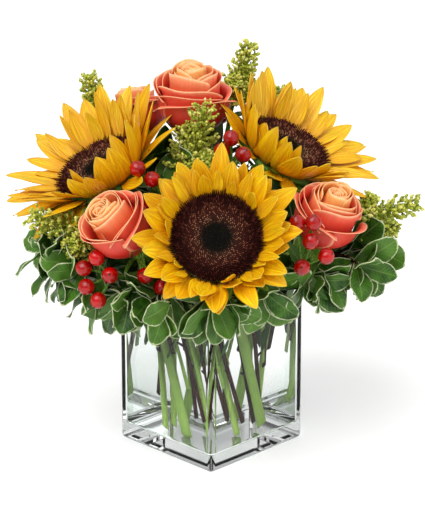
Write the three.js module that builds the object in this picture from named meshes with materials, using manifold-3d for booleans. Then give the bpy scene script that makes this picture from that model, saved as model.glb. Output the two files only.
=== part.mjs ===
// Sunflowers, roses, goldenrod, red berries and variegated foliage in a square glass vase of water.
// Millimetres, +Z up. The origin is the middle of the vase's underside, and the bouquet's front faces -Y.
// The vase stands corner-on: its four corners lie on the X and Y axes.
import * as THREE from "three";
import { mergeVertices } from "three/addons/utils/BufferGeometryUtils.js";
import Module from "manifold-3d";

const wasm = await Module();
wasm.setup();

// ---------------------------------------------------------------- driving dimensions
const GAP = 0.4; // clearance kept between any two pieces
const GOLDEN_ANGLE = 137.5; // degrees from one leaf or petal to the next

const VASE = { side: 102, height: 135, wall: 5, floor: 18, corner: 7, innerCorner: 9, bevel: 2 };
const WATER_LEVEL = 116;

// The stems stand straight in the vase, twisted as a bunch, so that their feet lie closer together than
// they do in the mouth. They bend above the rim.
const BUNCH = { top: VASE.height + 8, footSpread: 0.75, footTwist: 60, mouthTwist: 12, spacing: 1.2 };
const CUT = { longest: 0.62, seed: 2437 }; // thin stems are cut short, by up to this share of the way up
const STEM_RADIUS = { sunflower: 4.5, rose: 3, goldenrod: 1.8, berries: 2, foliage: 2 };
const STEM_STEPS = 4; // one straight span in the vase and three in the bend
const BEND_STIFFNESS = 0.35; // how far a stem runs on straight below its head, as a share of the bend

const DISC_RADIUS = 33;
const CALYX_DEPTH = 21; // from the face of a sunflower's disc to its stem
const RAYS = { radius: 33.4, depth: 4.9, width: 16.5, thick: 1.2, perWhorl: 12 };
const BRACTS = { count: 8, length: 24, width: 15, thick: 1.6 };
const ROSE = { height: 48, petals: 7, thick: 0.9, hip: 11 };
const SEPALS = { count: 5, length: 24, width: 8, thick: 1.2 };
const PLUME = { sides: 6, rings: 6, branches: 2 };
const BERRY_RADIUS = 6.4;
const STALK_RADIUS = 1.2;
const LEAF = { length: 42, width: 21, thick: 1.2 };

// Each sunflower: the middle of its disc, the way it faces and its rays. They are so long, and rise from the
// disc's plane by the cup, or by the lift more on the upper side. The curled side bends over the disc.
const SUNFLOWERS = {
  front: {
    at: { centre: [4, -86, 196], faces: [0, -0.84, 0.545] },
    rays: { length: 38, cup: 44, lift: 0, curledSide: -90, curl: 0.3, seed: 3 },
  },
  left: {
    at: { centre: [-86, 10, 220], faces: [-0.43, -0.24, 0.87] },
    rays: { length: 48, cup: 30, lift: 18, curledSide: -8, curl: 1, seed: 11 },
  },
  right: {
    at: { centre: [59, 18, 233], faces: [0.43, -0.24, 0.87] },
    rays: { length: 43, cup: 30, lift: 18, curledSide: 182, curl: 1, seed: 23 },
  },
};
// Each rose: the base of its bloom and the way it opens.
const ROSES = {
  left: { base: [-55, -50, 174], faces: [-0.55, -0.34, 0.76], size: 1.03, seed: 2 },
  right: { base: [79, -34, 173], faces: [0.3, -0.3, 0.9], size: 1.02, seed: 5 },
  top: { base: [-15, 38, 236], faces: [0, -0.07, 1], size: 1.12, seed: 8 },
  back: { base: [-54, 74, 219], faces: [-0.2, 0.3, 0.92], size: 0.88, seed: 12 },
};
// Each spray of goldenrod: the base and the tip of its main plume, and how far its branches reach.
const GOLDENROD = {
  top_left: { from: [-88, 88, 226], to: [-97, 92, 272], reach: 17, seed: 1 },
  top_right: { from: [18, 78, 254], to: [31, 84, 300], reach: 17, seed: 4 },
  centre: { from: [-14, -3, 219], to: [-5, -10, 276], reach: 23, seed: 7 },
  left: { from: [-92, -32, 174], to: [-137, -42, 199], reach: 20, seed: 10 },
  right: { from: [112, -4, 180], to: [161, -2, 196], reach: 16, seed: 13 },
  rear: { from: [42, 80, 214], to: [56, 110, 256], reach: 17, seed: 16 },
};
// Each bunch of berries: where its stem forks, and the middle of every berry.
const BERRIES = {
  left: {
    fork: [-74, -60, 156],
    at: [[-85, -71, 175], [-95, -66, 165], [-75, -76, 163], [-93, -71, 152], [-84, -76, 143]],
  },
  low: { fork: [-40, -60, 150], at: [[-49, -77, 163], [-37, -72, 152]] },
  centre: { fork: [-39, -28, 210], at: [[-55, -35, 233], [-44, -40, 226], [-46, -47, 209]] },
  top: { fork: [15, -16, 224], at: [[15, -26, 254], [8, -22, 243], [24, -32, 243]] },
  right: {
    fork: [68, -66, 166],
    at: [[63, -82, 206], [75, -84, 207], [73, -86, 193], [85, -82, 180], [67, -84, 172]],
  },
  rear: { fork: [6, 84, 222], at: [[-6, 96, 238], [8, 100, 234], [2, 90, 248]] },
};
// Each sprig of foliage: the tip of its shoot, the way it points and how many leaves it has.
const SPRIGS = {
  far_left: { tip: [-116, -26, 156], points: [-0.95, -0.2, 0.1], leaves: 8, seed: 1 },
  low_left: { tip: [-70, -50, 138], points: [-0.7, -0.45, -0.55], leaves: 8, seed: 2 },
  front_left: { tip: [-44, -68, 142], points: [-0.5, -0.7, -0.5], leaves: 9, seed: 3 },
  front: { tip: [2, -78, 144], points: [0.1, -0.8, -0.6], leaves: 7, seed: 4 },
  front_right: { tip: [38, -66, 148], points: [0.4, -0.75, -0.5], leaves: 6, seed: 5 },
  low_right: { tip: [76, -46, 150], points: [0.75, -0.5, -0.4], leaves: 7, seed: 6 },
  far_right: { tip: [110, -16, 154], points: [0.93, -0.2, -0.2], leaves: 8, seed: 7 },
  inner: { tip: [-26, -12, 204], points: [-0.3, -0.3, 0.9], leaves: 5, seed: 10 },
  back_left: { tip: [-80, 62, 160], points: [-0.75, 0.6, -0.1], leaves: 8, seed: 11 },
  back: { tip: [-8, 92, 160], points: [-0.1, 0.95, -0.2], leaves: 8, seed: 12 },
  back_right: { tip: [72, 70, 160], points: [0.7, 0.7, -0.1], leaves: 8, seed: 13 },
};

const finish = (color, roughness, opacity = 1) =>
  new THREE.MeshStandardMaterial({ color, roughness, metalness: 0, opacity, transparent: opacity < 1 });
const COLOURS = {
  glass: () => finish(0xe8f0ee, 0.05, 0.35),
  water: () => finish(0xdfe9e6, 0.05, 0.35),
  ray: () => finish(0xf5b810, 0.6),
  disc: () => finish(0x2c120d, 0.9),
  rose: () => finish(0xe8603a, 0.6),
  goldenrod: () => finish(0xb9bd2f, 0.8),
  berry: () => finish(0xb5140f, 0.25),
  leaf: () => finish(0x3a6b33, 0.5),
  stem: () => finish(0x5f8a3c, 0.6),
};

// ---------------------------------------------------------------- small helpers
const vec = (xyz) => new THREE.Vector3(...xyz);
const rad = THREE.MathUtils.degToRad;
const { lerp, smoothstep, clamp } = THREE.MathUtils;

// A number from -1 to 1 that is always the same for the same seed and index.
function vary(seed, index) {
  const wave = Math.sin(seed * 12.9898 + index * 78.233) * 43758.5453;
  return 2 * (wave - Math.floor(wave)) - 1;
}

// A closed geometry as a solid that can be joined and cut.
function solid(geometry, matrix = new THREE.Matrix4()) {
  const bare = geometry.clone();
  bare.deleteAttribute("normal");
  bare.deleteAttribute("uv");
  const merged = mergeVertices(bare.applyMatrix4(matrix), 1e-4);
  const mesh = new wasm.Mesh({
    numProp: 3,
    vertProperties: merged.attributes.position.array,
    triVerts: new Uint32Array(merged.index.array),
  });
  return new wasm.Manifold(mesh);
}

const fuse = (solids) => solids.reduce((whole, next) => whole.add(next));

function geometryOf(made) {
  const mesh = made.getMesh();
  return new THREE.BufferGeometry()
    .setAttribute("position", new THREE.BufferAttribute(new Float32Array(mesh.vertProperties), 3))
    .setIndex(new THREE.BufferAttribute(new Uint32Array(mesh.triVerts), 1));
}

// Turns local +Z to the way that something faces, with local +X level, and moves it to a place.
function facing(place, direction) {
  const z = direction.clone().normalize();
  const x = new THREE.Vector3(-z.y, z.x, 0);
  if (x.lengthSq() < 1e-6) x.set(1, 0, 0);
  x.normalize();
  return new THREE.Matrix4().makeBasis(x, z.clone().cross(x), z).setPosition(place);
}

// From a blade's own frame to its place on a head or shoot: out from the axis, round it and raised.
function spoke(azimuth, radius, height, raised) {
  return new THREE.Matrix4()
    .makeRotationZ(rad(azimuth - 90))
    .multiply(new THREE.Matrix4().makeTranslation(0, radius, height))
    .multiply(new THREE.Matrix4().makeRotationX(rad(raised)));
}

// ---------------------------------------------------------------- keeping pieces clear of each other
const placed = []; // every piece so far: its owner, its solid and its box

function boxOf(made) {
  const { min, max } = made.boundingBox();
  return new THREE.Box3(vec(min), vec(max));
}

function remember(owner, made) {
  placed.push({ owner, made, box: boxOf(made) });
  return made;
}

function isClear(owner, probe) {
  const box = boxOf(probe);
  const near = placed.filter((other) => other.owner !== owner && other.box.intersectsBox(box));
  return near.every((other) => other.made.intersect(probe).isEmpty());
}

// How a ray or leaf may give way to a neighbour: it turns aside, tilts up or down, or is shorter.
const BLADE_POSES = [];
for (const shrink of [1, 0.84, 0.68]) {
  for (const aside of [0, 7, -7]) {
    for (const tilt of [0, 10, -10, 20, -20]) BLADE_POSES.push({ shrink, aside, tilt });
  }
}
const BRANCH_POSES = [{ shrink: 1 }, { shrink: 0.8 }, { shrink: 0.6 }];

// Adds the piece in the first pose whose slightly larger copy touches nothing of another owner.
function settle(owner, parts, poses, make) {
  const pose = poses.find((one) => isClear(owner, make(one, GAP)));
  if (pose) parts.push(remember(owner, make(pose, 0)));
}

// ---------------------------------------------------------------- shapes
// A closed solid of revolution from [radius, height] pairs, upwards on the outside.
function turned(profile, sides) {
  const points = profile.map(([r, z]) => new THREE.Vector2(r, z));
  return new THREE.LatheGeometry(points, sides).rotateX(Math.PI / 2);
}

// A thin blade, flat above and keeled below, that grows from the origin along +Y with its upper face to +Z.
// It is a three-sided cone whose rows of corners are moved to the stations. The outline gives the half width
// at a share of the length, and the fold the keel's depth.
function blade({ length, width, thick, outline, fold, bend, twist = 0, stations, grow = 0 }) {
  const ends = [...stations, 1];
  const last = stations.length;
  const spine = [new THREE.Vector3()];
  for (let k = 1; k <= last; k++) {
    const step = length * (ends[k] - ends[k - 1]) + (k === last ? grow : 0);
    const lean = rad(bend) * (ends[k] + ends[k - 1]) * 0.5;
    spine.push(spine[k - 1].clone().add(new THREE.Vector3(0, Math.cos(lean) * step, Math.sin(lean) * step)));
  }
  const cone = new THREE.ConeGeometry(1, last, 3, last);
  const corners = cone.attributes.position;
  const point = new THREE.Vector3();
  for (let i = 0; i < corners.count; i++) {
    point.fromBufferAttribute(corners, i);
    const k = Math.round(point.y + last / 2);
    const isOnAxis = Math.hypot(point.x, point.z) < 0.01;
    const isKeel = point.z > 0.1;
    const side = isOnAxis || isKeel ? 0 : -Math.sign(point.x);
    const half = outline(ends[k]) * width * 0.5 + 1.5 * grow;
    const upper = thick * 0.3 + grow;
    const depth = thick * (1 - 0.4 * ends[k]) + fold * half + 2 * grow;
    const rise = isKeel ? upper - depth : upper;
    if (k === last) point.set(0, 0, 0);
    else point.set(side * half, 0, rise);
    const turn = new THREE.Matrix4().makeRotationX(rad(bend) * ends[k]);
    turn.multiply(new THREE.Matrix4().makeRotationY(rad(twist) * ends[k])).setPosition(spine[k]);
    corners.setXYZ(i, ...point.applyMatrix4(turn).toArray());
  }
  return cone;
}

// A thin curved sheet. place(u, v, layer) gives its points: u and v from 0 to 1, layer 0 outside, 1 inside.
// Both faces are the same grid, split into triangles alike, and a rim joins them.
function sheet(across, along, place) {
  const grid = new THREE.PlaneGeometry(1, 1, across, along);
  const { count } = grid.attributes.position;
  const positions = [];
  for (const layer of [0, 1]) {
    for (let i = 0; i < count; i++) {
      const u = grid.attributes.position.getX(i) + 0.5;
      const v = grid.attributes.position.getY(i) + 0.5;
      positions.push(...place(u, v, layer).toArray());
    }
  }
  const outer = [...grid.index.array];
  const inner = outer.map((a) => a + count).reverse();
  const row = across + 1;
  const border = [];
  for (let i = 0; i < across; i++) border.push(i);
  for (let j = 0; j < along; j++) border.push(j * row + across);
  for (let i = across; i > 0; i--) border.push(along * row + i);
  for (let j = along; j > 0; j--) border.push(j * row);
  const rim = border.flatMap((a, k) => {
    const b = border[(k + 1) % border.length];
    return [a, b, a + count, b, b + count, a + count];
  });
  return new THREE.BufferGeometry()
    .setAttribute("position", new THREE.Float32BufferAttribute(positions, 3))
    .setIndex([...outer, ...inner, ...rim]);
}

function tube(curve, radius, sides, steps) {
  const points = [];
  for (let i = 0; i < sides; i++) {
    const angle = (2 * Math.PI * i) / sides;
    points.push(new THREE.Vector2(radius * Math.cos(angle), radius * Math.sin(angle)));
  }
  return new THREE.ExtrudeGeometry(new THREE.Shape(points), { steps, extrudePath: curve });
}

// ---------------------------------------------------------------- vase
// A square prism with rounded upright edges, standing corner-on.
function block(half, corner, bottom, top, bevel = 0) {
  const outline = [];
  const middle = new THREE.Vector2();
  const inset = half - bevel - corner;
  const arcSteps = 4;
  for (let quarter = 0; quarter < 4; quarter++) {
    for (let i = 0; i <= arcSteps; i++) {
      const point = new THREE.Vector2(corner, 0).rotateAround(middle, (i / arcSteps) * (Math.PI / 2));
      point.add(new THREE.Vector2(inset, inset));
      outline.push(point.rotateAround(middle, quarter * (Math.PI / 2)));
    }
  }
  const prism = new THREE.ExtrudeGeometry(new THREE.Shape(outline), {
    depth: top - bottom - 2 * bevel,
    bevelEnabled: bevel > 0,
    bevelThickness: bevel,
    bevelSize: bevel,
    bevelSegments: 1,
  });
  return solid(prism, new THREE.Matrix4().makeRotationZ(Math.PI / 4).setPosition(0, 0, bottom + bevel));
}

function vase() {
  const half = VASE.side / 2;
  const outside = block(half, VASE.corner - VASE.bevel, 0, VASE.height, VASE.bevel);
  return outside.subtract(block(half - VASE.wall, VASE.innerCorner, VASE.floor, VASE.height + 1));
}

// ---------------------------------------------------------------- stems
const stemHoles = []; // what each stem takes out of the water

// How a stem may pass another: it bows sideways by the swing, and leaves the vase straighter or less so.
const STEM_WAYS = [];
for (const run of [0.35, 0.5, 0.2]) {
  for (const swing of [0, 7, -7, 14, -14, 22, -22, 32, -32]) STEM_WAYS.push({ run, swing });
}

// A stem stands straight in the vase, and bends above it to meet its head from behind.
class StemCurve extends THREE.Curve {
  constructor(foot, mouth, head, heading, { run, swing }) {
    super();
    const span = head.distanceTo(mouth);
    const rise = mouth.clone().sub(foot).normalize();
    const bow = new THREE.Vector3(-head.y, head.x, 0).setLength(1).multiplyScalar(swing);
    this.foot = foot;
    this.mouth = mouth;
    this.bend = new THREE.CubicBezierCurve3(
      mouth,
      mouth.clone().addScaledVector(rise, span * run).add(bow),
      head.clone().addScaledVector(heading, -span * BEND_STIFFNESS).add(bow),
      head,
    );
  }
  getPoint(t) {
    const step = t * STEM_STEPS;
    if (step <= 1) return this.foot.clone().lerp(this.mouth, step);
    return this.bend.getPoint((step - 1) / (STEM_STEPS - 1));
  }
  getUtoTmapping(u) {
    return u; // the steps are shared out as above, and not by length
  }
}

// Each stem leaves the vase on the side of its head, and stems that would touch move apart.
function spreadMouths(plants) {
  const reach = VASE.side / 2 - VASE.wall - 3;
  const points = plants.map(({ towards }) => {
    const out = new THREE.Vector2(towards[0], towards[1]);
    const share = Math.min(1, out.length() / 110);
    return out.rotateAround(new THREE.Vector2(), rad(BUNCH.mouthTwist)).setLength(8 + 44 * share);
  });
  for (let round = 0; round < 400; round++) {
    points.forEach((a, i) => {
      for (let j = i + 1; j < points.length; j++) {
        const apart = a.clone().sub(points[j]);
        const needed = (plants[i].radius + plants[j].radius + BUNCH.spacing) / BUNCH.footSpread;
        const short = needed - apart.length();
        if (short <= 0) continue;
        apart.setLength(short * 0.5);
        a.add(apart);
        points[j].sub(apart);
      }
      // The mouth is a square turned by an eighth, so its sides are |x| + |y| = constant.
      const over = Math.abs(a.x) + Math.abs(a.y) - (reach - plants[i].radius) * Math.SQRT2;
      if (over > 0) a.set(a.x - Math.sign(a.x) * over * 0.5, a.y - Math.sign(a.y) * over * 0.5);
    });
  }
  return new Map(plants.map(({ owner }, i) => [owner, points[i]]));
}

// A thin stem ends anywhere between the vase's floor and the longest cut.
const cutOf = (head) => CUT.longest * (vary(CUT.seed, head.x) * 0.5 + 0.5);

// A stem from its foot in the vase to its head. Of the ways tried, it takes the first that touches nothing.
// The cut is the share of its straight span that is missing at the foot.
function growStem(owner, mouth, head, heading, radius, sides, cut = 0) {
  const middle = new THREE.Vector2();
  const foot = mouth.clone().multiplyScalar(BUNCH.footSpread).rotateAround(middle, rad(BUNCH.footTwist));
  const low = new THREE.Vector3(foot.x, foot.y, VASE.floor + GAP + 0.4 * radius);
  const high = new THREE.Vector3(mouth.x, mouth.y, BUNCH.top);
  low.lerp(high, cut);
  const paths = STEM_WAYS.map((way) => new StemCurve(low, high, head, heading, way));
  const path = paths.find((one) => isClear(owner, solid(tube(one, radius + GAP, sides, STEM_STEPS))));
  if (!path) throw new Error("no clear way for the stem of " + owner);
  const belowFoot = low.clone().addScaledVector(high.clone().sub(low).normalize(), -6);
  stemHoles.push(solid(tube(new THREE.LineCurve3(belowFoot, high), radius + 1.2 * GAP, sides, 1)));
  return { path, made: remember(owner, solid(tube(path, radius, sides, STEM_STEPS))) };
}

// ---------------------------------------------------------------- sunflowers
// A head's own frame: the middle of the disc at the origin, facing +Z.
const headFrame = ({ at }) => facing(vec(at.centre), vec(at.faces));

// The disc's face is raised into florets: every other point of its rings stands up.
function disc(owner, flower) {
  const sides = 24;
  const face = [[29, 3], [22, 3.8], [15, 2.8], [8, 1.4], [0, 1]];
  const profile = [[0, -3], [DISC_RADIUS - 2, -3], [DISC_RADIUS, -0.4], ...face];
  const geometry = turned(profile, sides);
  const position = geometry.attributes.position;
  for (let i = 0; i < position.count; i++) {
    const [x, y, z] = [position.getX(i), position.getY(i), position.getZ(i)];
    const ring = profile.findIndex(([r]) => Math.abs(r - Math.hypot(x, y)) < 0.5);
    const column = Math.round((Math.atan2(y, x) / (2 * Math.PI)) * sides + sides);
    if (z > 1.2 && (ring + column) % 2 === 1) position.setZ(i, z + 1.5);
  }
  return remember(owner, solid(geometry, headFrame(flower)));
}

const rayOutline = (t) => Math.min(1, 0.34 + 1.9 * t) * Math.pow(1 - Math.pow(t, 3), 0.7);

// The rays stand in two whorls on a ring round the disc.
function rays(owner, flower) {
  const frame = headFrame(flower);
  const ring = turned([[29.5, -6.4], [35, -6.4], [36.5, -4.8], [29.5, -3.5], [29.5, -6.4]], 12);
  const parts = [remember(owner, solid(ring, frame))];
  const { length, cup, lift, curledSide, curl, seed } = flower.rays;
  for (let i = 0; i < 2 * RAYS.perWhorl; i++) {
    const whorl = i % 2;
    const azimuth = (180 / RAYS.perWhorl) * (i + 0.24 * vary(seed, i));
    const curled = curl * Math.pow(Math.cos(rad(azimuth - curledSide)) * 0.5 + 0.5, 2);
    const raised = cup + lift * Math.sin(rad(azimuth)) + 14 * whorl - 7;
    const size = 1 + 0.12 * vary(seed + 1, i) - 0.1 * curled - 0.06 * whorl;
    const shape = {
      width: RAYS.width * (1 + 0.1 * vary(seed + 2, i)),
      thick: RAYS.thick,
      outline: rayOutline,
      fold: 0.16,
      bend: -6 + 42 * curled + 14 * vary(seed + 3, i),
      twist: 10 * vary(seed + 4, i),
      stations: [0, 0.34, 0.74],
    };
    settle(owner, parts, BLADE_POSES, ({ shrink, aside, tilt }, grow) => {
      const lean = raised + 24 * curled + 6 * vary(seed + 5, i) + tilt;
      const place = frame.clone().multiply(spoke(azimuth + aside, RAYS.radius, -RAYS.depth, lean));
      return solid(blade({ ...shape, length: length * size * shrink, grow }), place);
    });
  }
  return fuse(parts);
}

const bractOutline = (t) => Math.pow(1 - t, 0.8) * (0.75 + 1.1 * t);

// The green calyx behind a head, with its bracts and its stem.
function sunflowerStem(owner, flower, mouth) {
  const frame = headFrame(flower);
  const underside = [[0, -23], [5.5, -22], [20, -16.5], [34, -9.5]];
  const seat = [[34, -6.9], [28.2, -6.9], [28.2, -3.5], [0, -3.5]];
  const parts = [solid(turned([...underside, ...seat], 12), frame)];
  for (let i = 0; i < BRACTS.count; i++) {
    const shape = { ...BRACTS, outline: bractOutline, fold: 0.15, bend: 20, stations: [0, 0.5] };
    const length = BRACTS.length + 4 * vary(flower.rays.seed + 6, i);
    const place = spoke((360 / BRACTS.count) * i, 29, -10.6, 8 + 7 * vary(flower.rays.seed + 7, i));
    parts.push(solid(blade({ ...shape, length }), frame.clone().multiply(place)));
  }
  remember(owner, fuse(parts));
  const heading = vec(flower.at.faces).normalize();
  const top = vec(flower.at.centre).addScaledVector(heading, -CALYX_DEPTH);
  return fuse([...parts, growStem(owner, mouth, top, heading, STEM_RADIUS.sunflower, 8).made]);
}

// ---------------------------------------------------------------- roses
// A bloom's own frame: its base at the origin, opening along +Z.
const roseFrame = (rose) => facing(vec(rose.base), vec(rose.faces));

// The petals wind round a closed bud, and the outer ones are wider and roll outwards at the lip.
function roseBloom(owner, rose) {
  const frame = roseFrame(rose).scale(new THREE.Vector3(rose.size, rose.size, rose.size));
  const bud = [[0, 0.6], [9.5, 1.2], [13.5, 7], [12.5, 13], [9.5, 24], [8, 36], [4.5, 43], [0, 39]];
  const parts = [solid(turned(bud, 8), frame)];
  for (let i = 0; i < ROSE.petals; i++) {
    const share = i / (ROSE.petals - 1);
    const azimuth = rad(GOLDEN_ANGLE * i + 40 * rose.seed);
    const span = rad(lerp(135, 108, share));
    const height = ROSE.height - 3 * share + 1.5 * vary(rose.seed, i);
    const belly = lerp(12, 24.5, share);
    const lip = lerp(9, 31, Math.pow(share, 1.3));
    const petal = sheet(3, 3, (u, v, layer) => {
      const side = 2 * u - 1;
      const opening = smoothstep(v, 0.5, 1);
      const swell = Math.sin(Math.min(1, v / 0.55) * Math.PI * 0.5);
      const radius = lerp(7, belly, swell) + (lip - belly) * opening + 0.6 * side - ROSE.thick * layer;
      const angle = azimuth + side * span * 0.5 * lerp(0.5, 1, smoothstep(v, 0, 0.5));
      const z = 2 + height * v * (1 - 0.1 * side * side * v) - 4 * share * opening;
      return new THREE.Vector3(radius * Math.cos(angle), radius * Math.sin(angle), z);
    });
    parts.push(solid(petal, frame));
  }
  return remember(owner, fuse(parts));
}

const sepalOutline = (t) => Math.pow(1 - t, 0.7) * (0.8 + 0.6 * t);

// The green hip under a bloom, with its sepals and its stem.
function roseStem(owner, rose, mouth) {
  const frame = roseFrame(rose);
  const hip = [[0, -ROSE.hip], [3.4, -ROSE.hip], [6.5, -6], [6.2, 0], [0, 0]];
  const parts = [solid(turned(hip, 8), frame)];
  for (let i = 0; i < SEPALS.count; i++) {
    const shape = { ...SEPALS, outline: sepalOutline, fold: 0.1, bend: -30, stations: [0, 0.45] };
    const place = spoke((360 / SEPALS.count) * i + 17 * rose.seed, 4.5, -3.6, -14);
    parts.push(solid(blade(shape), frame.clone().multiply(place)));
  }
  remember(owner, fuse(parts));
  const heading = vec(rose.faces).normalize();
  const top = vec(rose.base).addScaledVector(heading, 3 - ROSE.hip);
  return fuse([...parts, growStem(owner, mouth, top, heading, STEM_RADIUS.rose, 6).made]);
}

// ---------------------------------------------------------------- goldenrod
// One plume of tiny florets round a spine: every other point of its surface stands out and forwards.
function plume(spine, reach, seed) {
  const geometry = new THREE.SphereGeometry(1, PLUME.sides, PLUME.rings);
  const position = geometry.attributes.position;
  const point = new THREE.Vector3();
  for (let i = 0; i < position.count; i++) {
    point.fromBufferAttribute(position, i);
    const share = Math.acos(clamp(-point.y, -1, 1)) / Math.PI;
    const ring = Math.round(share * PLUME.rings);
    const turns = Math.atan2(point.z, point.x) / (2 * Math.PI);
    const column = Math.round(turns * PLUME.sides + PLUME.sides) % PLUME.sides;
    const isEnd = ring === 0 || ring === PLUME.rings;
    const isTuft = (ring + column) % 2 === 1;
    const tuft = isTuft ? 1 + 0.2 * vary(seed, ring * PLUME.sides + column) : 0.5;
    const out = isEnd ? 0 : reach * (1 - 0.62 * share) * tuft;
    const angle = (2 * Math.PI * column) / PLUME.sides;
    const local = facing(spine.getPoint(share * 0.94), spine.getTangent(share));
    point.set(out * Math.cos(angle), -out * Math.sin(angle), isTuft ? 0.45 * out : 0);
    position.setXYZ(i, ...point.applyMatrix4(local).toArray());
  }
  return solid(geometry);
}

// A spray's flowers: the main plume in the middle and shorter branches that arch away from it.
function plumes(owner, spray) {
  const [from, to] = [vec(spray.from), vec(spray.to)];
  const frame = facing(from, to.clone().sub(from));
  const length = from.distanceTo(to);
  const parts = [remember(owner, plume(new THREE.LineCurve3(from, to), spray.reach * 0.6, spray.seed))];
  for (let i = 0; i < PLUME.branches; i++) {
    const turn = spoke((360 / PLUME.branches) * i + 35 * spray.seed + 90, 0, 0, 0);
    settle(owner, parts, BRANCH_POSES, ({ shrink }) => {
      const reach = spray.reach * shrink;
      const rise = lerp(0.35, 0.55, i) * length * shrink;
      const route = [[0, 0, 1.5], [0.5 * reach, 0, 0.12 * length], [1.1 * reach, 0, rise]];
      const points = route.map((p) => vec(p).applyMatrix4(turn).applyMatrix4(frame));
      return plume(new THREE.QuadraticBezierCurve3(...points), spray.reach * 0.45, spray.seed + i + 1);
    });
  }
  return fuse(parts);
}

function goldenrodStem(owner, spray, mouth) {
  const heading = vec(spray.to).sub(vec(spray.from)).normalize();
  const top = vec(spray.from).addScaledVector(heading, -0.6);
  return growStem(owner, mouth, top, heading, STEM_RADIUS.goldenrod, 5, cutOf(vec(spray.from))).made;
}

// ---------------------------------------------------------------- berries
function berries(owner, bunch, mouth) {
  const fork = vec(bunch.fork);
  const middle = bunch.at.map(vec).reduce((a, b) => a.add(b)).divideScalar(bunch.at.length);
  const heading = middle.sub(fork).normalize();
  const parts = [];
  for (const at of bunch.at) {
    const berry = new THREE.OctahedronGeometry(BERRY_RADIUS, 1).translate(...at);
    const stalk = tube(new THREE.LineCurve3(fork, vec(at)), STALK_RADIUS, 4, 1);
    parts.push(remember(owner, solid(berry)), remember(owner, solid(stalk)));
  }
  const top = fork.clone().addScaledVector(heading, 1.5);
  return fuse([...parts, growStem(owner, mouth, top, heading, STEM_RADIUS.berries, 5, cutOf(fork)).made]);
}

// ---------------------------------------------------------------- foliage
// A leaf is broad towards its end.
const leafOutline = (t) => Math.pow(Math.sin(Math.PI * (0.015 + 0.9 * Math.pow(t, 1.2))), 0.7);

// The leaves crowd at the tip of the shoot, the upper ones smaller and more upright.
function sprig(owner, shoot, mouth) {
  const heading = vec(shoot.points).normalize();
  const tip = vec(shoot.tip);
  const { path, made } = growStem(owner, mouth, tip, heading, STEM_RADIUS.foliage, 5, cutOf(tip));
  const parts = [made];
  for (let i = 0; i < shoot.leaves; i++) {
    const share = i / (shoot.leaves - 1);
    const along = 0.985 - 0.1 * share;
    const frame = facing(path.getPoint(along), path.getTangent(along));
    const azimuth = GOLDEN_ANGLE * i + 50 * shoot.seed + 90;
    const open = lerp(28, 78, share) + 8 * vary(shoot.seed, i);
    const size = lerp(0.8, 1.05, share) + 0.1 * vary(shoot.seed + 1, i);
    const shape = {
      thick: LEAF.thick,
      outline: leafOutline,
      fold: 0.12,
      bend: -20 + 12 * vary(shoot.seed + 2, i),
      twist: 16 * vary(shoot.seed + 3, i),
      stations: [0, 0.42, 0.8],
    };
    settle(owner, parts, BLADE_POSES, ({ shrink, aside, tilt }, grow) => {
      const length = LEAF.length * size * shrink;
      const width = LEAF.width * size * (0.4 + 0.6 * shrink);
      const place = frame.clone().multiply(spoke(azimuth + 3 * aside, 0, 0, 90 - open - tilt));
      return solid(blade({ ...shape, length, width, grow }), place);
    });
  }
  return fuse(parts);
}

// ---------------------------------------------------------------- the bouquet
const bouquet = new THREE.Group();

function show(name, made, material) {
  const mesh = new THREE.Mesh(geometryOf(made), material);
  mesh.name = name;
  bouquet.add(mesh);
}

// Makes one node for each entry of a table, named after it, and passes on its place in the vase's mouth.
function showEach(table, nameOf, make, colour) {
  for (const [name, entry] of Object.entries(table)) {
    const owner = nameOf(name);
    show(owner, make(owner, entry, mouths.get(owner)), colour());
  }
}

const plantsOf = (table, nameOf, radius, towards) =>
  Object.entries(table).map(([name, entry]) => ({ owner: nameOf(name), radius, towards: towards(entry) }));
const mouths = spreadMouths([
  ...plantsOf(SUNFLOWERS, (name) => `sunflower_${name}_stem`, STEM_RADIUS.sunflower, ({ at }) => at.centre),
  ...plantsOf(ROSES, (name) => `rose_${name}_stem`, STEM_RADIUS.rose, (rose) => rose.base),
  ...plantsOf(GOLDENROD, (name) => `goldenrod_${name}_stem`, STEM_RADIUS.goldenrod, (spray) => spray.from),
  ...plantsOf(BERRIES, (name) => `berries_${name}`, STEM_RADIUS.berries, (bunch) => bunch.fork),
  ...plantsOf(SPRIGS, (name) => `foliage_${name}`, STEM_RADIUS.foliage, (shoot) => shoot.tip),
]);

// What can't give way comes first: the glass, the discs and the blooms, then the stems between them.
show("vase", remember("vase", vase()), COLOURS.glass());
showEach(SUNFLOWERS, (name) => `sunflower_${name}_disc`, disc, COLOURS.disc);
showEach(ROSES, (name) => `rose_${name}_bloom`, roseBloom, COLOURS.rose);
showEach(SUNFLOWERS, (name) => `sunflower_${name}_stem`, sunflowerStem, COLOURS.stem);
showEach(ROSES, (name) => `rose_${name}_stem`, roseStem, COLOURS.stem);
showEach(BERRIES, (name) => `berries_${name}`, berries, COLOURS.berry);
showEach(SUNFLOWERS, (name) => `sunflower_${name}_rays`, rays, COLOURS.ray);
showEach(GOLDENROD, (name) => `goldenrod_${name}_stem`, goldenrodStem, COLOURS.stem);
showEach(GOLDENROD, (name) => `goldenrod_${name}_plume`, plumes, COLOURS.goldenrod);
showEach(SPRIGS, (name) => `foliage_${name}`, sprig, COLOURS.leaf);

// The water fills the vase round the stems, which stand in plain holes in it.
const pool = block(VASE.side / 2 - VASE.wall - GAP, VASE.innerCorner - GAP, VASE.floor + GAP, WATER_LEVEL);
show("water", stemHoles.reduce((left, hole) => left.subtract(hole), pool), COLOURS.water());

export default bouquet;
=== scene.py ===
# %% [markdown]
# # Sunflowers in a square glass vase
#
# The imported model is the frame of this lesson: it says where every flower, leaf and stem is, with few and
# large faces. Here each piece is made again with petals, florets and glass that look real, at the same
# place and size.

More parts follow.
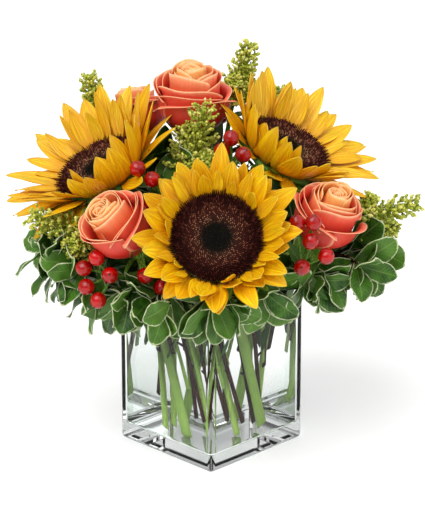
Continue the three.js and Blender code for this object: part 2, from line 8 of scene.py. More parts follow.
# %% Load the frame
import math
from cmath import rect
from collections import namedtuple
from math import cos, pi, radians, sin
from types import SimpleNamespace as Sizes

import bmesh
import bpy
import numpy as np
from bmesh import ops
from mathutils import Matrix, Vector


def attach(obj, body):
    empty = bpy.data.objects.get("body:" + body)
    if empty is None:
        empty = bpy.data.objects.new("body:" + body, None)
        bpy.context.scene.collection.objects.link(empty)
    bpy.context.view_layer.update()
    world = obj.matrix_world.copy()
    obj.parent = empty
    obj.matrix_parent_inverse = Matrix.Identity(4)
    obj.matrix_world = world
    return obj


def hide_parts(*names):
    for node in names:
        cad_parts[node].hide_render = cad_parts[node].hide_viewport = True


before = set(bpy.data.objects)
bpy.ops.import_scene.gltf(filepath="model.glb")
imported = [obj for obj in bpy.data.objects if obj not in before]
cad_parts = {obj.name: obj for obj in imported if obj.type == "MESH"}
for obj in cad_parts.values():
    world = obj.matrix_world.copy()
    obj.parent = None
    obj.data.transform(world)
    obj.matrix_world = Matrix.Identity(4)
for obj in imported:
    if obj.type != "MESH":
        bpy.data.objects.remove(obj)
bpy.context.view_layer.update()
MM = 0.001  # every size below is in millimetres, and a finished mesh is scaled to metres

# %% [markdown]
# ## The studio
#
# The bouquet stands on a white sheet in soft daylight. One large lamp from the upper left gives the shine
# on the berries and the shade between the petals, a weaker one fills the right side, and the sky does the
# rest.

# %% Camera
CAMERA = Sizes(target=(0.001, 0, 0.150), distance=2.0, elevation=19.5, lens=181.3)


def put_in_scene(name, data):
    made = bpy.data.objects.new(name, data)
    bpy.context.scene.collection.objects.link(made)
    return made


def make_camera():
    data = bpy.data.cameras.new("camera")
    data.lens = CAMERA.lens
    camera = put_in_scene("camera", data)
    tilt = radians(CAMERA.elevation)
    camera.location = Vector(CAMERA.target) + CAMERA.distance * Vector((0, -cos(tilt), sin(tilt)))
    camera.rotation_euler = (pi / 2 - tilt, 0, 0)
    bpy.context.scene.camera = camera
    return camera


print("camera at", [round(c, 3) for c in make_camera().location])

# %% Lamps
LAMPS = {
    "key": {"place": (-0.8, -1.1, 1.7), "strength": 2.1, "softness": 50},
    "fill": {"place": (1.5, -1.0, 0.9), "strength": 0.8, "softness": 70},
}


def make_lamp(name, place, strength, softness):
    """A far lamp lights the whole sheet evenly. Its softness is the angle that it takes up in the sky."""
    data = bpy.data.lights.new(name, "SUN")
    data.angle = radians(softness)
    data.energy = strength
    put_in_scene(name, data).rotation_euler = Vector(place).to_track_quat("Z", "Y").to_euler()


for lamp_name, lamp in LAMPS.items():
    make_lamp(lamp_name, **lamp)
print(len(LAMPS), "lamps")

# %% [markdown]
# ## Short words for shader nodes
#
# A material is a small graph. `add` puts one node in it and plugs in what it is given, `mixed` blends two
# colours and `painted` turns a number into a colour. `paint` takes a colour as it looks on a screen, from 0
# to 255, because that is how one reads it off a real petal, and gives the linear colour that the shader
# needs.


# %% Node helpers
def plug(socket, value):
    if isinstance(value, bpy.types.NodeSocket):
        socket.id_data.links.new(value, socket)
    else:
        socket.default_value = value


def add(tree, kind, inputs=(), **settings):
    made = tree.nodes.new("ShaderNode" + kind)
    for key, value in settings.items():
        setattr(made, key, value)
    for key, value in dict(inputs).items():
        plug(made.inputs[key], value)
    return made


def maths(operation, *values):
    return add(values[0].id_data, "Math", enumerate(values), operation=operation).outputs[0]


def mixed(share, first, second):
    return add(share.id_data, "Mix", {0: share, 6: first, 7: second}, data_type="RGBA").outputs[2]


def remapped(number, low, high, to_low=0.0, to_high=1.0):
    values = (number, low, high, to_low, to_high)
    return add(number.id_data, "MapRange", enumerate(values), interpolation_type="SMOOTHSTEP").outputs[0]


def attributes(tree, *names):
    return [add(tree, "Attribute", attribute_name=name).outputs["Fac"] for name in names]


def object_place(tree):
    return add(tree, "TexCoord").outputs["Object"]


print("node helpers ready")


# %% Colours and finishes
def grey(value):
    return (value, value, value, 1.0)


def paint(red, green, blue):
    return tuple((c / 255) ** 2.2 for c in (red, green, blue)) + (1.0,)


def ramp(number, stops):
    made = add(number.id_data, "ValToRGB", {0: number})
    elements = made.color_ramp.elements
    while len(elements) < len(stops):
        elements.new(0.5)
    for element, (position, colour) in zip(elements, stops):
        element.position = position
        element.color = colour
    return made.outputs[0]


def painted(number, *stops):
    """A ramp whose stops are a position and a colour as it looks on a screen."""
    return ramp(number, [(position, paint(*colour)) for position, *colour in stops])


def new_material(name, **constants):
    material = bpy.data.materials.new(name)
    material.use_nodes = True
    for key, value in constants.items():
        shader_input(material.node_tree, key.replace("_", " ")).default_value = value
    return material, material.node_tree


def shader_input(tree, name):
    return tree.nodes["Principled BSDF"].inputs[name]


def dressed(material, colour, height, strength, distance):
    """The material with its colour plugged in, and a relief of that strength and depth in metres."""
    tree = material.node_tree
    plug(shader_input(tree, "Base Color"), colour)
    relief = add(tree, "Bump", {"Height": height, "Strength": strength, "Distance": distance})
    plug(shader_input(tree, "Normal"), relief.outputs[0])
    return material


print("a ripe yellow is", [round(c, 2) for c in paint(250, 200, 6)])


# %% [markdown]
# ## Sky and floor
#
# The sky is a gradient on the world's own direction, bright overhead. Glass is seen by what it bends, so
# the sky is darker towards the horizon: that draws the thin grey lines in its edges. The floor is one wide
# sheet of paper that fills the view from every side. It glows faintly, so that it stays white below the
# darker sky.

# %% Sky and floor
SKY = Sizes(horizon=0.15, top=1.05, top_at=0.7, strength=0.8)
FLOOR = Sizes(reach=40.0, gap=0.0002, glow=0.22, dark=0.86, light=0.90)  # the gap is air under the glass
MAX_BOUNCES = 32  # a ray crosses up to a dozen surfaces of glass and water


def make_sky():
    world = bpy.data.worlds.new("studio")
    world.use_nodes = True
    bpy.context.scene.world = world
    tree = world.node_tree
    direction = add(tree, "TexCoord").outputs["Generated"]
    height = add(tree, "SeparateXYZ", {0: direction}).outputs["Z"]
    background = tree.nodes["Background"].inputs
    stops = [(0.0, grey(SKY.horizon)), (SKY.top_at, grey(SKY.top))]
    plug(background["Color"], ramp(height, stops))
    background["Strength"].default_value = SKY.strength


def to_mesh(name, bm):
    mesh = bpy.data.meshes.new(name)
    bm.to_mesh(mesh)
    bm.free()
    return mesh


def make_floor():
    bm = bmesh.new()
    below = Matrix.Translation((0, 0, -FLOOR.gap))
    ops.create_grid(bm, x_segments=1, y_segments=1, size=FLOOR.reach, matrix=below)
    floor = put_in_scene("floor", to_mesh("floor", bm))
    material, tree = new_material("white_paper", Roughness=0.6, Emission_Color=grey(1),
                                  Emission_Strength=FLOOR.glow)
    grain = add(tree, "TexNoise", {"Scale": 900.0, "Vector": object_place(tree)}).outputs[0]
    paper = ramp(grain, [(0.0, grey(FLOOR.dark)), (1.0, grey(FLOOR.light))])
    plug(shader_input(tree, "Base Color"), paper)
    floor.data.materials.append(material)


make_sky()
make_floor()
bpy.context.scene.view_settings.view_transform = "Standard"
cycles = bpy.context.scene.cycles
cycles.max_bounces = cycles.transmission_bounces = MAX_BOUNCES
print("floor", 2 * FLOOR.reach, "m wide")

# %% [markdown]
# ## Effects that several finishes share
#
# Petals, leaves and stems all have fine fibres that run lengthwise, and none of them is one even colour.
# Each effect is a node group with named sockets, built once and placed in each material with its own
# values.


# %% Node groups
def new_group(name, output, **inputs):
    """An empty group with the kind of each input, and its two lists of sockets."""
    tree = bpy.data.node_groups.new(name, "ShaderNodeTree")
    for socket, kind in inputs.items():
        tree.interface.new_socket(socket, in_out="INPUT", socket_type="NodeSocket" + kind)
    tree.interface.new_socket(output, in_out="OUTPUT", socket_type="NodeSocketFloat")
    return tree, tree.nodes.new("NodeGroupInput").outputs, tree.nodes.new("NodeGroupOutput").inputs


def make_fibres():
    """Fine lines along a blade: noise that is stretched lengthwise."""
    numbers = dict.fromkeys(("Across", "Along", "Count", "Seed"), "Float")
    tree, given, result = new_group("fibres", "Lines", **numbers)
    across = maths("MULTIPLY", given["Across"], given["Count"])
    along = maths("MULTIPLY", given["Along"], 1.6)
    seed = maths("MULTIPLY", given["Seed"], 40.0)
    place = add(tree, "CombineXYZ", enumerate((across, along, seed))).outputs[0]
    lines = add(tree, "TexNoise", {"Vector": place, "Scale": 1.0, "Detail": 2.0}).outputs[0]
    plug(result["Lines"], remapped(lines, 0.36, 0.64))
    return tree


def make_mottle():
    """Soft blotches, for what varies over a surface without a direction."""
    tree, given, result = new_group("mottle", "Value", Vector="Vector", Scale="Float")
    inputs = {"Vector": given["Vector"], "Scale": given["Scale"], "Detail": 3.0}
    blotches = add(tree, "TexNoise", inputs).outputs[0]
    plug(result["Value"], remapped(blotches, 0.32, 0.68))
    return tree


GROUPS = {"fibres": make_fibres(), "mottle": make_mottle()}


def grouped(tree, name, **inputs):
    return add(tree, "Group", inputs, node_tree=GROUPS[name]).outputs[0]


def mottled(tree, scale):
    return grouped(tree, "mottle", Vector=object_place(tree), Scale=scale)


print("node groups:", ", ".join(GROUPS))

# %% [markdown]
# ## Frames for things that grow
#
# A flower faces some way, and its petals stand round that way like spokes. `facing` turns local Z to the
# way that something faces, and `spoke` goes from a blade's own frame to its place on a head. `vary` gives
# small differences that are the same in every run.

# %% Frames
GOLDEN_ANGLE = 137.5


def vary(seed, index):
    wave = sin(seed * 12.9898 + index * 78.233) * 43758.5453
    return 2 * (wave - math.floor(wave)) - 1


def mix(low, high, share):
    return low + (high - low) * share


def smooth(number, low, high):
    share = min(1.0, max(0.0, (number - low) / (high - low)))
    return share * share * (3 - 2 * share)


def facing(place, direction):
    z = direction.normalized()
    x = Vector((-z.y, z.x, 0))
    x = x.normalized() if x.length > 1e-3 else Vector((1, 0, 0))
    return Matrix.Translation(place) @ Matrix((x, z.cross(x), z)).transposed().to_4x4()


def spoke(azimuth, radius, height, raised):
    turn = Matrix.Rotation(radians(azimuth - 90), 4, "Z")
    return turn @ Matrix.Translation((0, radius, height)) @ Matrix.Rotation(radians(raised), 4, "X")


print("a spoke at 90 degrees starts at", tuple(spoke(90, 10, 0, 0).translation))

# %% [markdown]
# ## Building blocks for meshes
#
# Everything here is either a thin sheet that grows from a root, such as a petal, or a round stem. A sheet
# starts as a flat grid whose points are moved to their place, and it carries numbers that its material
# reads: how far across and along a point is, how far from the edge, and a tone for each blade. A stem
# starts as a circle that is extruded from point to point. Each part is made on its own, which is quicker,
# and poured into its piece.

# %% Sheets
NUMBERS = ("across", "along", "tone", "layer", "rim")
Blade = namedtuple("Blade", "frame length width bend twist")  # it grows along +Y of its frame


def new_piece():
    bm = bmesh.new()
    for name in NUMBERS:
        bm.verts.layers.float.new(name)
    return bm


def pour(bm, part):
    mesh = to_mesh("part", part)
    bm.from_mesh(mesh)
    bpy.data.meshes.remove(mesh)


def label(bm, verts, **values):
    for name, value in values.items():
        layer = bm.verts.layers.float[name]
        for v in verts:
            v[layer] = value


def spine_points(length, bend, shares):
    points = [Vector((0, 0, 0))]
    for low, high in zip(shares, shares[1:]):
        lean = radians(bend) * (low + high) / 2
        points.append(points[-1] + length * (high - low) * Vector((0, cos(lean), sin(lean))))
    return points


def add_sheet(bm, across, along, place, **values):
    """place(side, k) gives a point, its share of the length and its distance from the rim."""
    part = new_piece()
    layers = part.verts.layers.float
    ops.create_grid(part, x_segments=across, y_segments=along, size=0.5)
    for v in part.verts:
        side = 2 * v.co.x
        v.co, v[layers["along"]], v[layers["rim"]] = place(side, round((v.co.y + 0.5) * along))
        v[layers["across"]] = side
    label(part, part.verts, **values)
    ops.remove_doubles(part, verts=part.verts, dist=0.02)
    pour(bm, part)


def add_blade(bm, blade, outline, section, across, along, **values):
    """The rows of a blade crowd towards its tip, where the outline turns most."""
    shares = [sin(pi / 2 * k / along) for k in range(along + 1)]
    spine = spine_points(blade.length, blade.bend, shares)
    bend, twist = radians(blade.bend), radians(blade.twist)

    def place(side, k):
        share = shares[k]
        half = outline(share) * blade.width / 2
        turn = Matrix.Rotation(bend * share, 3, "X") @ Matrix.Rotation(twist * share, 3, "Y")
        point = spine[k] + turn @ Vector((side * half, 0, section(side, share, half)))
        rim = min((1 - abs(side)) * half, (1 - share) * blade.length * 0.8)
        return blade.frame @ point, share, rim

    add_sheet(bm, across, along, place, **values)


print("a straight spine ends at", tuple(spine_points(10, 0, [0, 0.5, 1])[-1]))


# %% Tubes and turned bodies
def add_tube(bm, points, radii, sides, cut=0.0, **values):
    """A round stem through the points. cut slants its first end."""
    part = new_piece()
    heading = rise = (points[1] - points[0]).normalized()
    start = Matrix.Translation(points[0]) @ rise.to_track_quat("Z", "Y").to_matrix().to_4x4()
    foot = ops.create_circle(part, segments=sides, radius=radii[0], matrix=start)["verts"]
    edges = part.edges[:]
    for k in range(1, len(points)):
        out = ops.extrude_edge_only(part, edges=edges)["geom"]
        ring = [g for g in out if isinstance(g, bmesh.types.BMVert)]
        edges = [g for g in out if isinstance(g, bmesh.types.BMEdge) and g.is_boundary]
        ahead = (points[min(k + 1, len(points) - 1)] - points[k - 1]).normalized()
        turn = heading.rotation_difference(ahead).to_matrix().to_4x4()
        size = Matrix.Scale(radii[k] / radii[k - 1], 4)
        move = Matrix.Translation(points[k]) @ turn @ size @ Matrix.Translation(-points[k - 1])
        ops.transform(part, matrix=move, verts=ring)
        heading = ahead
    sideways = start.to_3x3() @ Vector((1, 0, 0))
    for v in foot:
        v.co += rise * cut * ((v.co - points[0]).dot(sideways) + radii[0])
    ops.holes_fill(part, edges=open_edges(part), sides=0)
    ops.recalc_face_normals(part, faces=part.faces)
    label(part, part.verts, **values)
    pour(bm, part)


def open_edges(bm):
    return [edge for edge in bm.edges if edge.is_boundary]


def add_turned(bm, profile, sides):
    """A solid of revolution about Z, from pairs of radius and height that start and end on the axis."""
    part = new_piece()
    line = [part.verts.new((radius, 0, height)) for radius, height in profile]
    edges = [part.edges.new(pair) for pair in zip(line, line[1:])]
    ops.spin(part, geom=line + edges, axis=(0, 0, 1), cent=(0, 0, 0), angle=2 * pi, steps=sides,
                   use_merge=True)
    ops.remove_doubles(part, verts=part.verts, dist=0.01)
    ops.recalc_face_normals(part, faces=part.faces)
    pour(bm, part)


print("tubes and turned bodies ready")


# %% [markdown]
# A piece is finished by scaling its mesh to metres. A sheet gets its roundness from one level of
# Subdivision Surface and its thickness from a Solidify modifier, which is cheaper to write than a closed
# shell.

# %% Finish a piece
def finish_piece(name, bm, nodes, material, thickness=0.0):
    ops.scale(bm, vec=(MM, MM, MM), verts=bm.verts)
    mesh = to_mesh(name, bm)
    mesh.shade_smooth()
    mesh.materials.append(material)
    piece = put_in_scene(name, mesh)
    if thickness:
        modifier = piece.modifiers.new("rounded", "SUBSURF")
        modifier.levels = modifier.render_levels = 1
        modifier = piece.modifiers.new("thickness", "SOLIDIFY")
        modifier.thickness = thickness * MM
        modifier.offset = 0
    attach(piece, "root")
    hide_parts(*nodes)
    print(name, len(mesh.polygons), "faces")
    return piece


print(len(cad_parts), "nodes to dress")


# %% [markdown]
# ## The vase
#
# The real one is pressed glass: a square box with walls of 4 mm, a base of 13 mm and softly rounded edges.
# It is modelled as two open boxes, the hollow's turned inside out, whose edges are bevelled, the upright
# ones first. A bridge of faces joins them into the rim. The curves at the foot of the hollow bend the light
# most. The large faces stay optically flat, which weighted normals take care of.

# %% Rounded boxes
VASE = Sizes(side=102, height=135, wall=4, floor=13, corner=4.5, inner_corner=3.5, edge=3, rim=1.6, hollow=3)
WATER = Sizes(level=116, overlap=0.3)
HOLLOW_SIDE = VASE.side - 2 * VASE.wall
NEAR = 0.01  # two lengths that differ by less are the same


def bevel(bm, edges, radius, segments):
    ops.bevel(bm, geom=edges, offset=radius, offset_type="OFFSET", segments=segments, profile=0.5,
                    affect="EDGES", material=-1, clamp_overlap=True)


def upright_edges(bm, side):
    """The upright edges at the corners of a square of that side."""
    ends = [(edge, *(v.co.xy for v in edge.verts)) for edge in bm.edges]
    return [edge for edge, a, b in ends
            if abs(a.length - side / math.sqrt(2)) < NEAR and (a - b).length < NEAR]


def level_edges(bm, height):
    """The edges at that height that turn a corner."""
    return [edge for edge in bm.edges
            if all(abs(v.co.z - height) < NEAR for v in edge.verts) and edge.calc_face_angle(0) > 1.0]


def rounded_box(bm, side, bottom, top, corner, foot):
    """A box without a lid. Its upright edges are rounded first, and then the edges at its foot."""
    size = Matrix.Translation((0, 0, (bottom + top) / 2)) @ Matrix.Diagonal((side, side, top - bottom, 1))
    ops.create_cube(bm, size=1, matrix=size)
    bevel(bm, upright_edges(bm, side), corner, 8)
    lid = [face for face in bm.faces if all(abs(v.co.z - top) < NEAR for v in face.verts)]
    ops.delete(bm, geom=lid, context="FACES_ONLY")
    bevel(bm, level_edges(bm, bottom), foot, 6)


print("hollow", HOLLOW_SIDE, "mm wide, water", WATER.level - VASE.floor, "mm deep")


# %% Glass and water shapes
def make_glass():
    bm = new_piece()
    rounded_box(bm, HOLLOW_SIDE, VASE.floor, VASE.height, VASE.inner_corner, VASE.hollow)
    ops.reverse_faces(bm, faces=bm.faces)
    rounded_box(bm, VASE.side, 0, VASE.height, VASE.corner, VASE.edge)
    ops.bridge_loops(bm, edges=open_edges(bm))
    bevel(bm, level_edges(bm, VASE.height), VASE.rim, 4)
    return bm


def make_water():
    bm = new_piece()
    rounded_box(bm, HOLLOW_SIDE + 2 * WATER.overlap, VASE.floor - WATER.overlap, WATER.level,
                VASE.inner_corner, VASE.hollow)
    ops.contextual_create(bm, geom=open_edges(bm))
    for edge in level_edges(bm, WATER.level):
        edge.smooth = False
    return bm


def finish_clear(name, bm, nodes, material):
    """Turns a piece corner-on and keeps its large faces flat, so that only its edges bend the light."""
    ops.rotate(bm, matrix=Matrix.Rotation(pi / 4, 3, "Z"), verts=bm.verts)
    piece = finish_piece(name, bm, nodes, material)
    modifier = piece.modifiers.new("flat_faces", "WEIGHTED_NORMAL")
    modifier.mode = "FACE_AREA"
    modifier.weight = 100
    modifier.keep_sharp = True


print("glass and water have a place to stand")

# %% [markdown]
# Glass and water are the same shader with another index of refraction. Lamps can't find a way through a
# bent surface, so for rays that come straight from a lamp both are plainly see-through: without that the
# stems would stand in the dark. The mirror image of the white room is dimmed, because it would lie over the
# stems like haze. The water reaches a little into the glass, so that there is no film of air between them.

# %% Glass and water
MIRRORED = 0.12


def clear_material(name, ior, tint):
    material, tree = new_material(name, Roughness=0.0, IOR=ior, Transmission_Weight=1.0,
                                  Specular_Tint=grey(MIRRORED))
    plug(shader_input(tree, "Base Color"), mixed(mottled(tree, 14.0), tint, grey(1)))
    bent = tree.nodes["Principled BSDF"].outputs[0]
    straight = add(tree, "BsdfTransparent", {"Color": tint}).outputs[0]
    is_lamp = add(tree, "LightPath").outputs["Is Shadow Ray"]
    both = add(tree, "MixShader", enumerate((is_lamp, bent, straight)))
    plug(tree.nodes["Material Output"].inputs["Surface"], both.outputs[0])
    return material


GLASS = clear_material("clear_glass", 1.5, (0.95, 0.98, 0.97, 1))
finish_clear("vase_glass", make_glass(), ["vase"], GLASS)
CLEAR_WATER = clear_material("water", 1.33, (0.97, 0.99, 0.98, 1))
finish_clear("vase_water", make_water(), ["water"], CLEAR_WATER)

# %% [markdown]
# ## The plan of the bouquet
#
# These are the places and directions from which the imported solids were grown, in millimetres. The head is
# the middle of a sunflower's disc, the base of a rose or a spray, the fork of a bunch of berries or the tip
# of a sprig, and the heading is the way that it grows there.


# %% Flowers
def as_vectors(value):
    if isinstance(value, list):
        return [Vector(point) for point in value]
    return Vector(value) if isinstance(value, tuple) else value


def table(columns, **rows):
    """Rows whose values are named by the columns. A tuple is a point or a direction, a list holds points."""
    return {name: Sizes(**dict(zip(columns.split(), map(as_vectors, row)))) for name, row in rows.items()}


SUNFLOWERS = table(
    "head heading length cup lift curled_side curl outer seed",
    front=((4, -86, 196), (0, -0.84, 0.545), 38, 44, 0, -90, 0.3, 0.82, 3),
    left=((-86, 10, 220), (-0.43, -0.24, 0.87), 48, 30, 18, -8, 1, 0.92, 11),
    right=((59, 18, 233), (0.43, -0.24, 0.87), 43, 30, 18, 182, 1, 0.92, 23),
)
ROSES = table(
    "head heading size seed",
    left=((-55, -50, 174), (-0.55, -0.34, 0.76), 1.03, 2),
    right=((79, -34, 173), (0.3, -0.3, 0.9), 1.02, 5),
    top=((-15, 38, 236), (0, -0.07, 1), 1.12, 8),
    back=((-54, 74, 219), (-0.2, 0.3, 0.92), 0.88, 12),
)
GOLDENROD = table(
    "head end reach seed",
    top_left=((-88, 88, 226), (-97, 92, 272), 17, 1),
    top_right=((18, 78, 254), (31, 84, 300), 17, 4),
    centre=((-14, -3, 219), (-5, -10, 276), 23, 7),
    left=((-92, -32, 174), (-137, -42, 199), 20, 10),
    right=((112, -4, 180), (161, -2, 196), 16, 13),
    rear=((42, 80, 214), (56, 110, 256), 17, 16),
)
for spray in GOLDENROD.values():
    spray.heading = spray.end - spray.head
print(len(SUNFLOWERS), "sunflowers,", len(ROSES), "roses,", len(GOLDENROD), "sprays of goldenrod")

# %% Berries and foliage
BERRIES = table(
    "head fruit seed",
    left=((-74, -60, 156),
          [(-85, -71, 175), (-95, -66, 165), (-75, -76, 163), (-93, -71, 152), (-84, -76, 143)], 0),
    low=((-40, -60, 150), [(-49, -77, 163), (-37, -72, 152)], 1),
    centre=((-39, -28, 210), [(-55, -35, 233), (-44, -40, 226), (-46, -47, 209)], 2),
    top=((15, -16, 224), [(15, -26, 254), (8, -22, 243), (24, -32, 243)], 3),
    right=((68, -66, 166),
           [(63, -82, 206), (75, -84, 207), (73, -86, 193), (85, -82, 180), (67, -84, 172)], 4),
    rear=((6, 84, 222), [(-6, 96, 238), (8, 100, 234), (2, 90, 248)], 5),
)
FRUIT = [at for bunch in BERRIES.values() for at in bunch.fruit]
for bunch in BERRIES.values():
    bunch.heading = sum(bunch.fruit, Vector()) / len(bunch.fruit) - bunch.head
SPRIGS = table(
    "head heading leaves sides seed",
    far_left=((-116, -26, 156), (-0.95, -0.2, 0.1), 8, 4, 1),
    low_left=((-70, -50, 138), (-0.7, -0.45, -0.55), 8, 3, 2),
    front_left=((-44, -68, 142), (-0.5, -0.7, -0.5), 9, 2, 3),
    front=((2, -78, 144), (0.1, -0.8, -0.6), 7, 1, 4),
    front_right=((38, -66, 148), (0.4, -0.75, -0.5), 6, 0, 5),
    low_right=((76, -46, 150), (0.75, -0.5, -0.4), 7, 2, 6),
    far_right=((110, -16, 154), (0.93, -0.2, -0.2), 8, 4, 7),
    inner=((-26, -12, 204), (-0.3, -0.3, 0.9), 5, 4, 10),
    back_left=((-80, 62, 160), (-0.75, 0.6, -0.1), 8, 3, 11),
    back=((-8, 92, 160), (-0.1, 0.95, -0.2), 8, 3, 12),
    back_right=((72, 70, 160), (0.7, 0.7, -0.1), 8, 3, 13),
)
print(len(FRUIT), "berries,", len(SPRIGS), "sprigs")

# %% Kinds of stem
KINDS = table(  # a stem ends below the head, and thin ones are cut short by up to a share of their way up
    "plants suffix radius sides wobble below cut",
    sunflower=(SUNFLOWERS, "_stem", 4.5, 16, 0.2, 21, 0),
    rose=(ROSES, "_stem", 3, 12, 0.3, 8, 0),
    goldenrod=(GOLDENROD, "_stem", 1.8, 8, 0.3, 0.6, 0.62),
    berries=(BERRIES, "", 2, 9, 0.5, -1.5, 0.62),
    foliage=(SPRIGS, "", 2, 9, 0.6, 0, 0.62),
)
PLANTS = []
for kind, stalk in KINDS.items():
    for name, plant in stalk.plants.items():
        plant.kind = kind
        plant.stalk = stalk
        plant.name = f"{kind}_{name}"
        plant.node = plant.name + stalk.suffix
        plant.frame = facing(plant.head, plant.heading)
        plant.heading.normalize()
        PLANTS.append(plant)
print(len(PLANTS), "plants")

# %% [markdown]
# ## Where the stems run
#
# Every stem stands straight in the vase and bends above it. In the mouth each one leans to the side of its
# head, and those that would touch have moved apart. That is worked out again here, step by step as for the
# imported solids, so that every stem ends up inside its own solid.

# %% The mouth of the vase
BUNCH = Sizes(foot=18.4, top=143, reach=43, foot_spread=0.75, foot_twist=60, mouth_twist=12, spacing=1.2)
MOUTH = Sizes(nearest=8, farthest=52, head_reach=110, rounds=400)


def spread_mouths():
    """Complex numbers stand for points in the mouth: they keep full precision and turn by multiplying."""
    radii = [plant.stalk.radius for plant in PLANTS]
    heads = [complex(*plant.head.xy) for plant in PLANTS]
    turn = rect(1, radians(BUNCH.mouth_twist))
    points = [a * turn / abs(a) * mix(MOUTH.nearest, MOUTH.farthest, min(1, abs(a) / MOUTH.head_reach))
              for a in heads]
    for _ in range(MOUTH.rounds):
        for i, radius in enumerate(radii):
            for j in range(i + 1, len(radii)):
                apart = points[i] - points[j]
                short = (radius + radii[j] + BUNCH.spacing) / BUNCH.foot_spread - abs(apart)
                if short > 0:
                    push = apart / abs(apart) * short * 0.5
                    points[i] += push
                    points[j] -= push
            a = points[i]
            over = abs(a.real) + abs(a.imag) - (BUNCH.reach - radius) * math.sqrt(2)
            if over > 0:
                points[i] -= complex(math.copysign(over * 0.5, a.real), math.copysign(over * 0.5, a.imag))
    return points


for plant, mouth in zip(PLANTS, spread_mouths()):
    plant.mouth = mouth
print("mouth of the front sunflower's stem:", SUNFLOWERS["front"].mouth)

# %% Stem paths
STEM_STEPS = 4
BEND_STIFFNESS = 0.35
STEM_WAYS = [(run, swing) for run in (0.35, 0.5, 0.2) for swing in (0, 7, -7, 14, -14, 22, -22, 32, -32)]
CUT_SEED = 2437
ON_RING = 0.05  # a corner that is no farther off its stem's radius belongs to the ring
# Shares of a stem's length. The first is below 0, because the glass floor is lower here than in the solids.
STEM_POINTS = [-0.0125, 0.05, 0.1, 0.15, 0.2, *(mix(1 / STEM_STEPS, 1, k / 16) for k in range(17))]


class Stem:
    """Straight from foot to mouth, and then a bend that meets the head from behind."""

    def __init__(self, foot, mouth, head, heading, run, swing):
        span = (head - mouth).length
        rise = (mouth - foot).normalized()
        bow = Vector((-head.y, head.x, 0)).normalized() * swing
        near = mouth + rise * span * run + bow
        far = head - heading * span * BEND_STIFFNESS + bow
        self.foot, self.bend = foot, (mouth, near, far, head)

    def at(self, t):
        step = t * STEM_STEPS
        if step <= 1:
            return self.foot.lerp(self.bend[0], step)
        s = (step - 1) / (STEM_STEPS - 1)
        a, b, c, d = self.bend
        return a * (1 - s) ** 3 + b * 3 * s * (1 - s) ** 2 + c * 3 * s * s * (1 - s) + d * s ** 3

    def heading_at(self, t):
        return (self.at(min(1, t + 1e-3)) - self.at(t - 1e-3)).normalized()

    def frame_at(self, t):
        return facing(self.at(t), self.heading_at(t))


print("a stem has", len(STEM_POINTS), "rings, and", len(STEM_WAYS), "ways to bend")


# %% Find and draw the stems
def corners_of(node):
    """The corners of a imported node, in millimetres."""
    return np.array([v.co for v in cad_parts[node].data.vertices], float) / MM


def gaps_to(corners, point):
    return np.linalg.norm(corners - np.array(point), axis=1)


def find_stem(plant):
    """The way of a stem that fits its solid best: the solid has a ring of corners round each bend."""
    mouth, radius = plant.mouth, plant.stalk.radius
    foot = mouth * BUNCH.foot_spread * rect(1, radians(BUNCH.foot_twist))
    low = Vector((foot.real, foot.imag, BUNCH.foot + 0.4 * radius))
    high = Vector((mouth.real, mouth.imag, BUNCH.top))
    low = low.lerp(high, plant.stalk.cut * (vary(CUT_SEED, plant.head.x) * 0.5 + 0.5))
    top = plant.head - plant.stalk.below * plant.heading
    corners = corners_of(plant.node)

    def corners_round(stem):
        return min(int((abs(gaps_to(corners, stem.at(t)) - radius) < ON_RING).sum()) for t in (0.5, 0.75))

    best = max((Stem(low, high, top, plant.heading, *way) for way in STEM_WAYS), key=corners_round)
    if corners_round(best) == 0:
        raise RuntimeError("no way of the stem fits " + plant.node)
    return best


def add_stem(bm, plant):
    seed = plant.seed
    points = [plant.stem.at(share) for share in STEM_POINTS]
    radii = [plant.stalk.radius * (1 + 0.06 * vary(seed, k)) for k in range(len(points))]
    for k, point in enumerate(points[1:-1]):
        point += plant.stalk.wobble * Vector((vary(seed + 1, k), vary(seed + 2, k), 0))
    add_tube(bm, points, radii, plant.stalk.sides, cut=0.6)


for plant in PLANTS:
    plant.stem = find_stem(plant)
print(len(PLANTS), "stems found")

# %% [markdown]
# Rays and leaves gave way to their neighbours when the solids were grown: some turned aside, tilted or came
# out shorter. The tip of a blade is a corner of its solid, so each blade's pose is the one whose tip lies
# on one.

# %% Poses of blades
POSES = [(shrink, aside, tilt)
         for shrink in (1, 0.84, 0.68) for aside in (0, 7, -7) for tilt in (0, 10, -10, 20, -20)]
ON_CORNER = 0.1  # a tip that is no farther off lies on the corner


def find_pose(corners, place, length, bend, stations):
    """The shrink and the frame of the pose whose tip is a corner, or None for a blade that found no room."""
    def gap(pose):
        shrink, *moved = pose
        return gaps_to(corners, place(*moved) @ spine_points(length * shrink, bend, stations)[-1]).min()

    best = min(POSES, key=gap)
    return (best[0], place(*best[1:])) if gap(best) < ON_CORNER else None


print(len(POSES), "poses to try")

# %% [markdown]
# ## Green stems
#
# Cut stems of sunflowers and roses are pale green and a little ribbed, with darker blotches, and they are
# cut slantwise at the foot so that they can drink. Below the water line they are lighter. Sprigs have brown
# bark.

# %% Stem finishes
SOAKED = Sizes(share=0.6, fades_over=0.03)


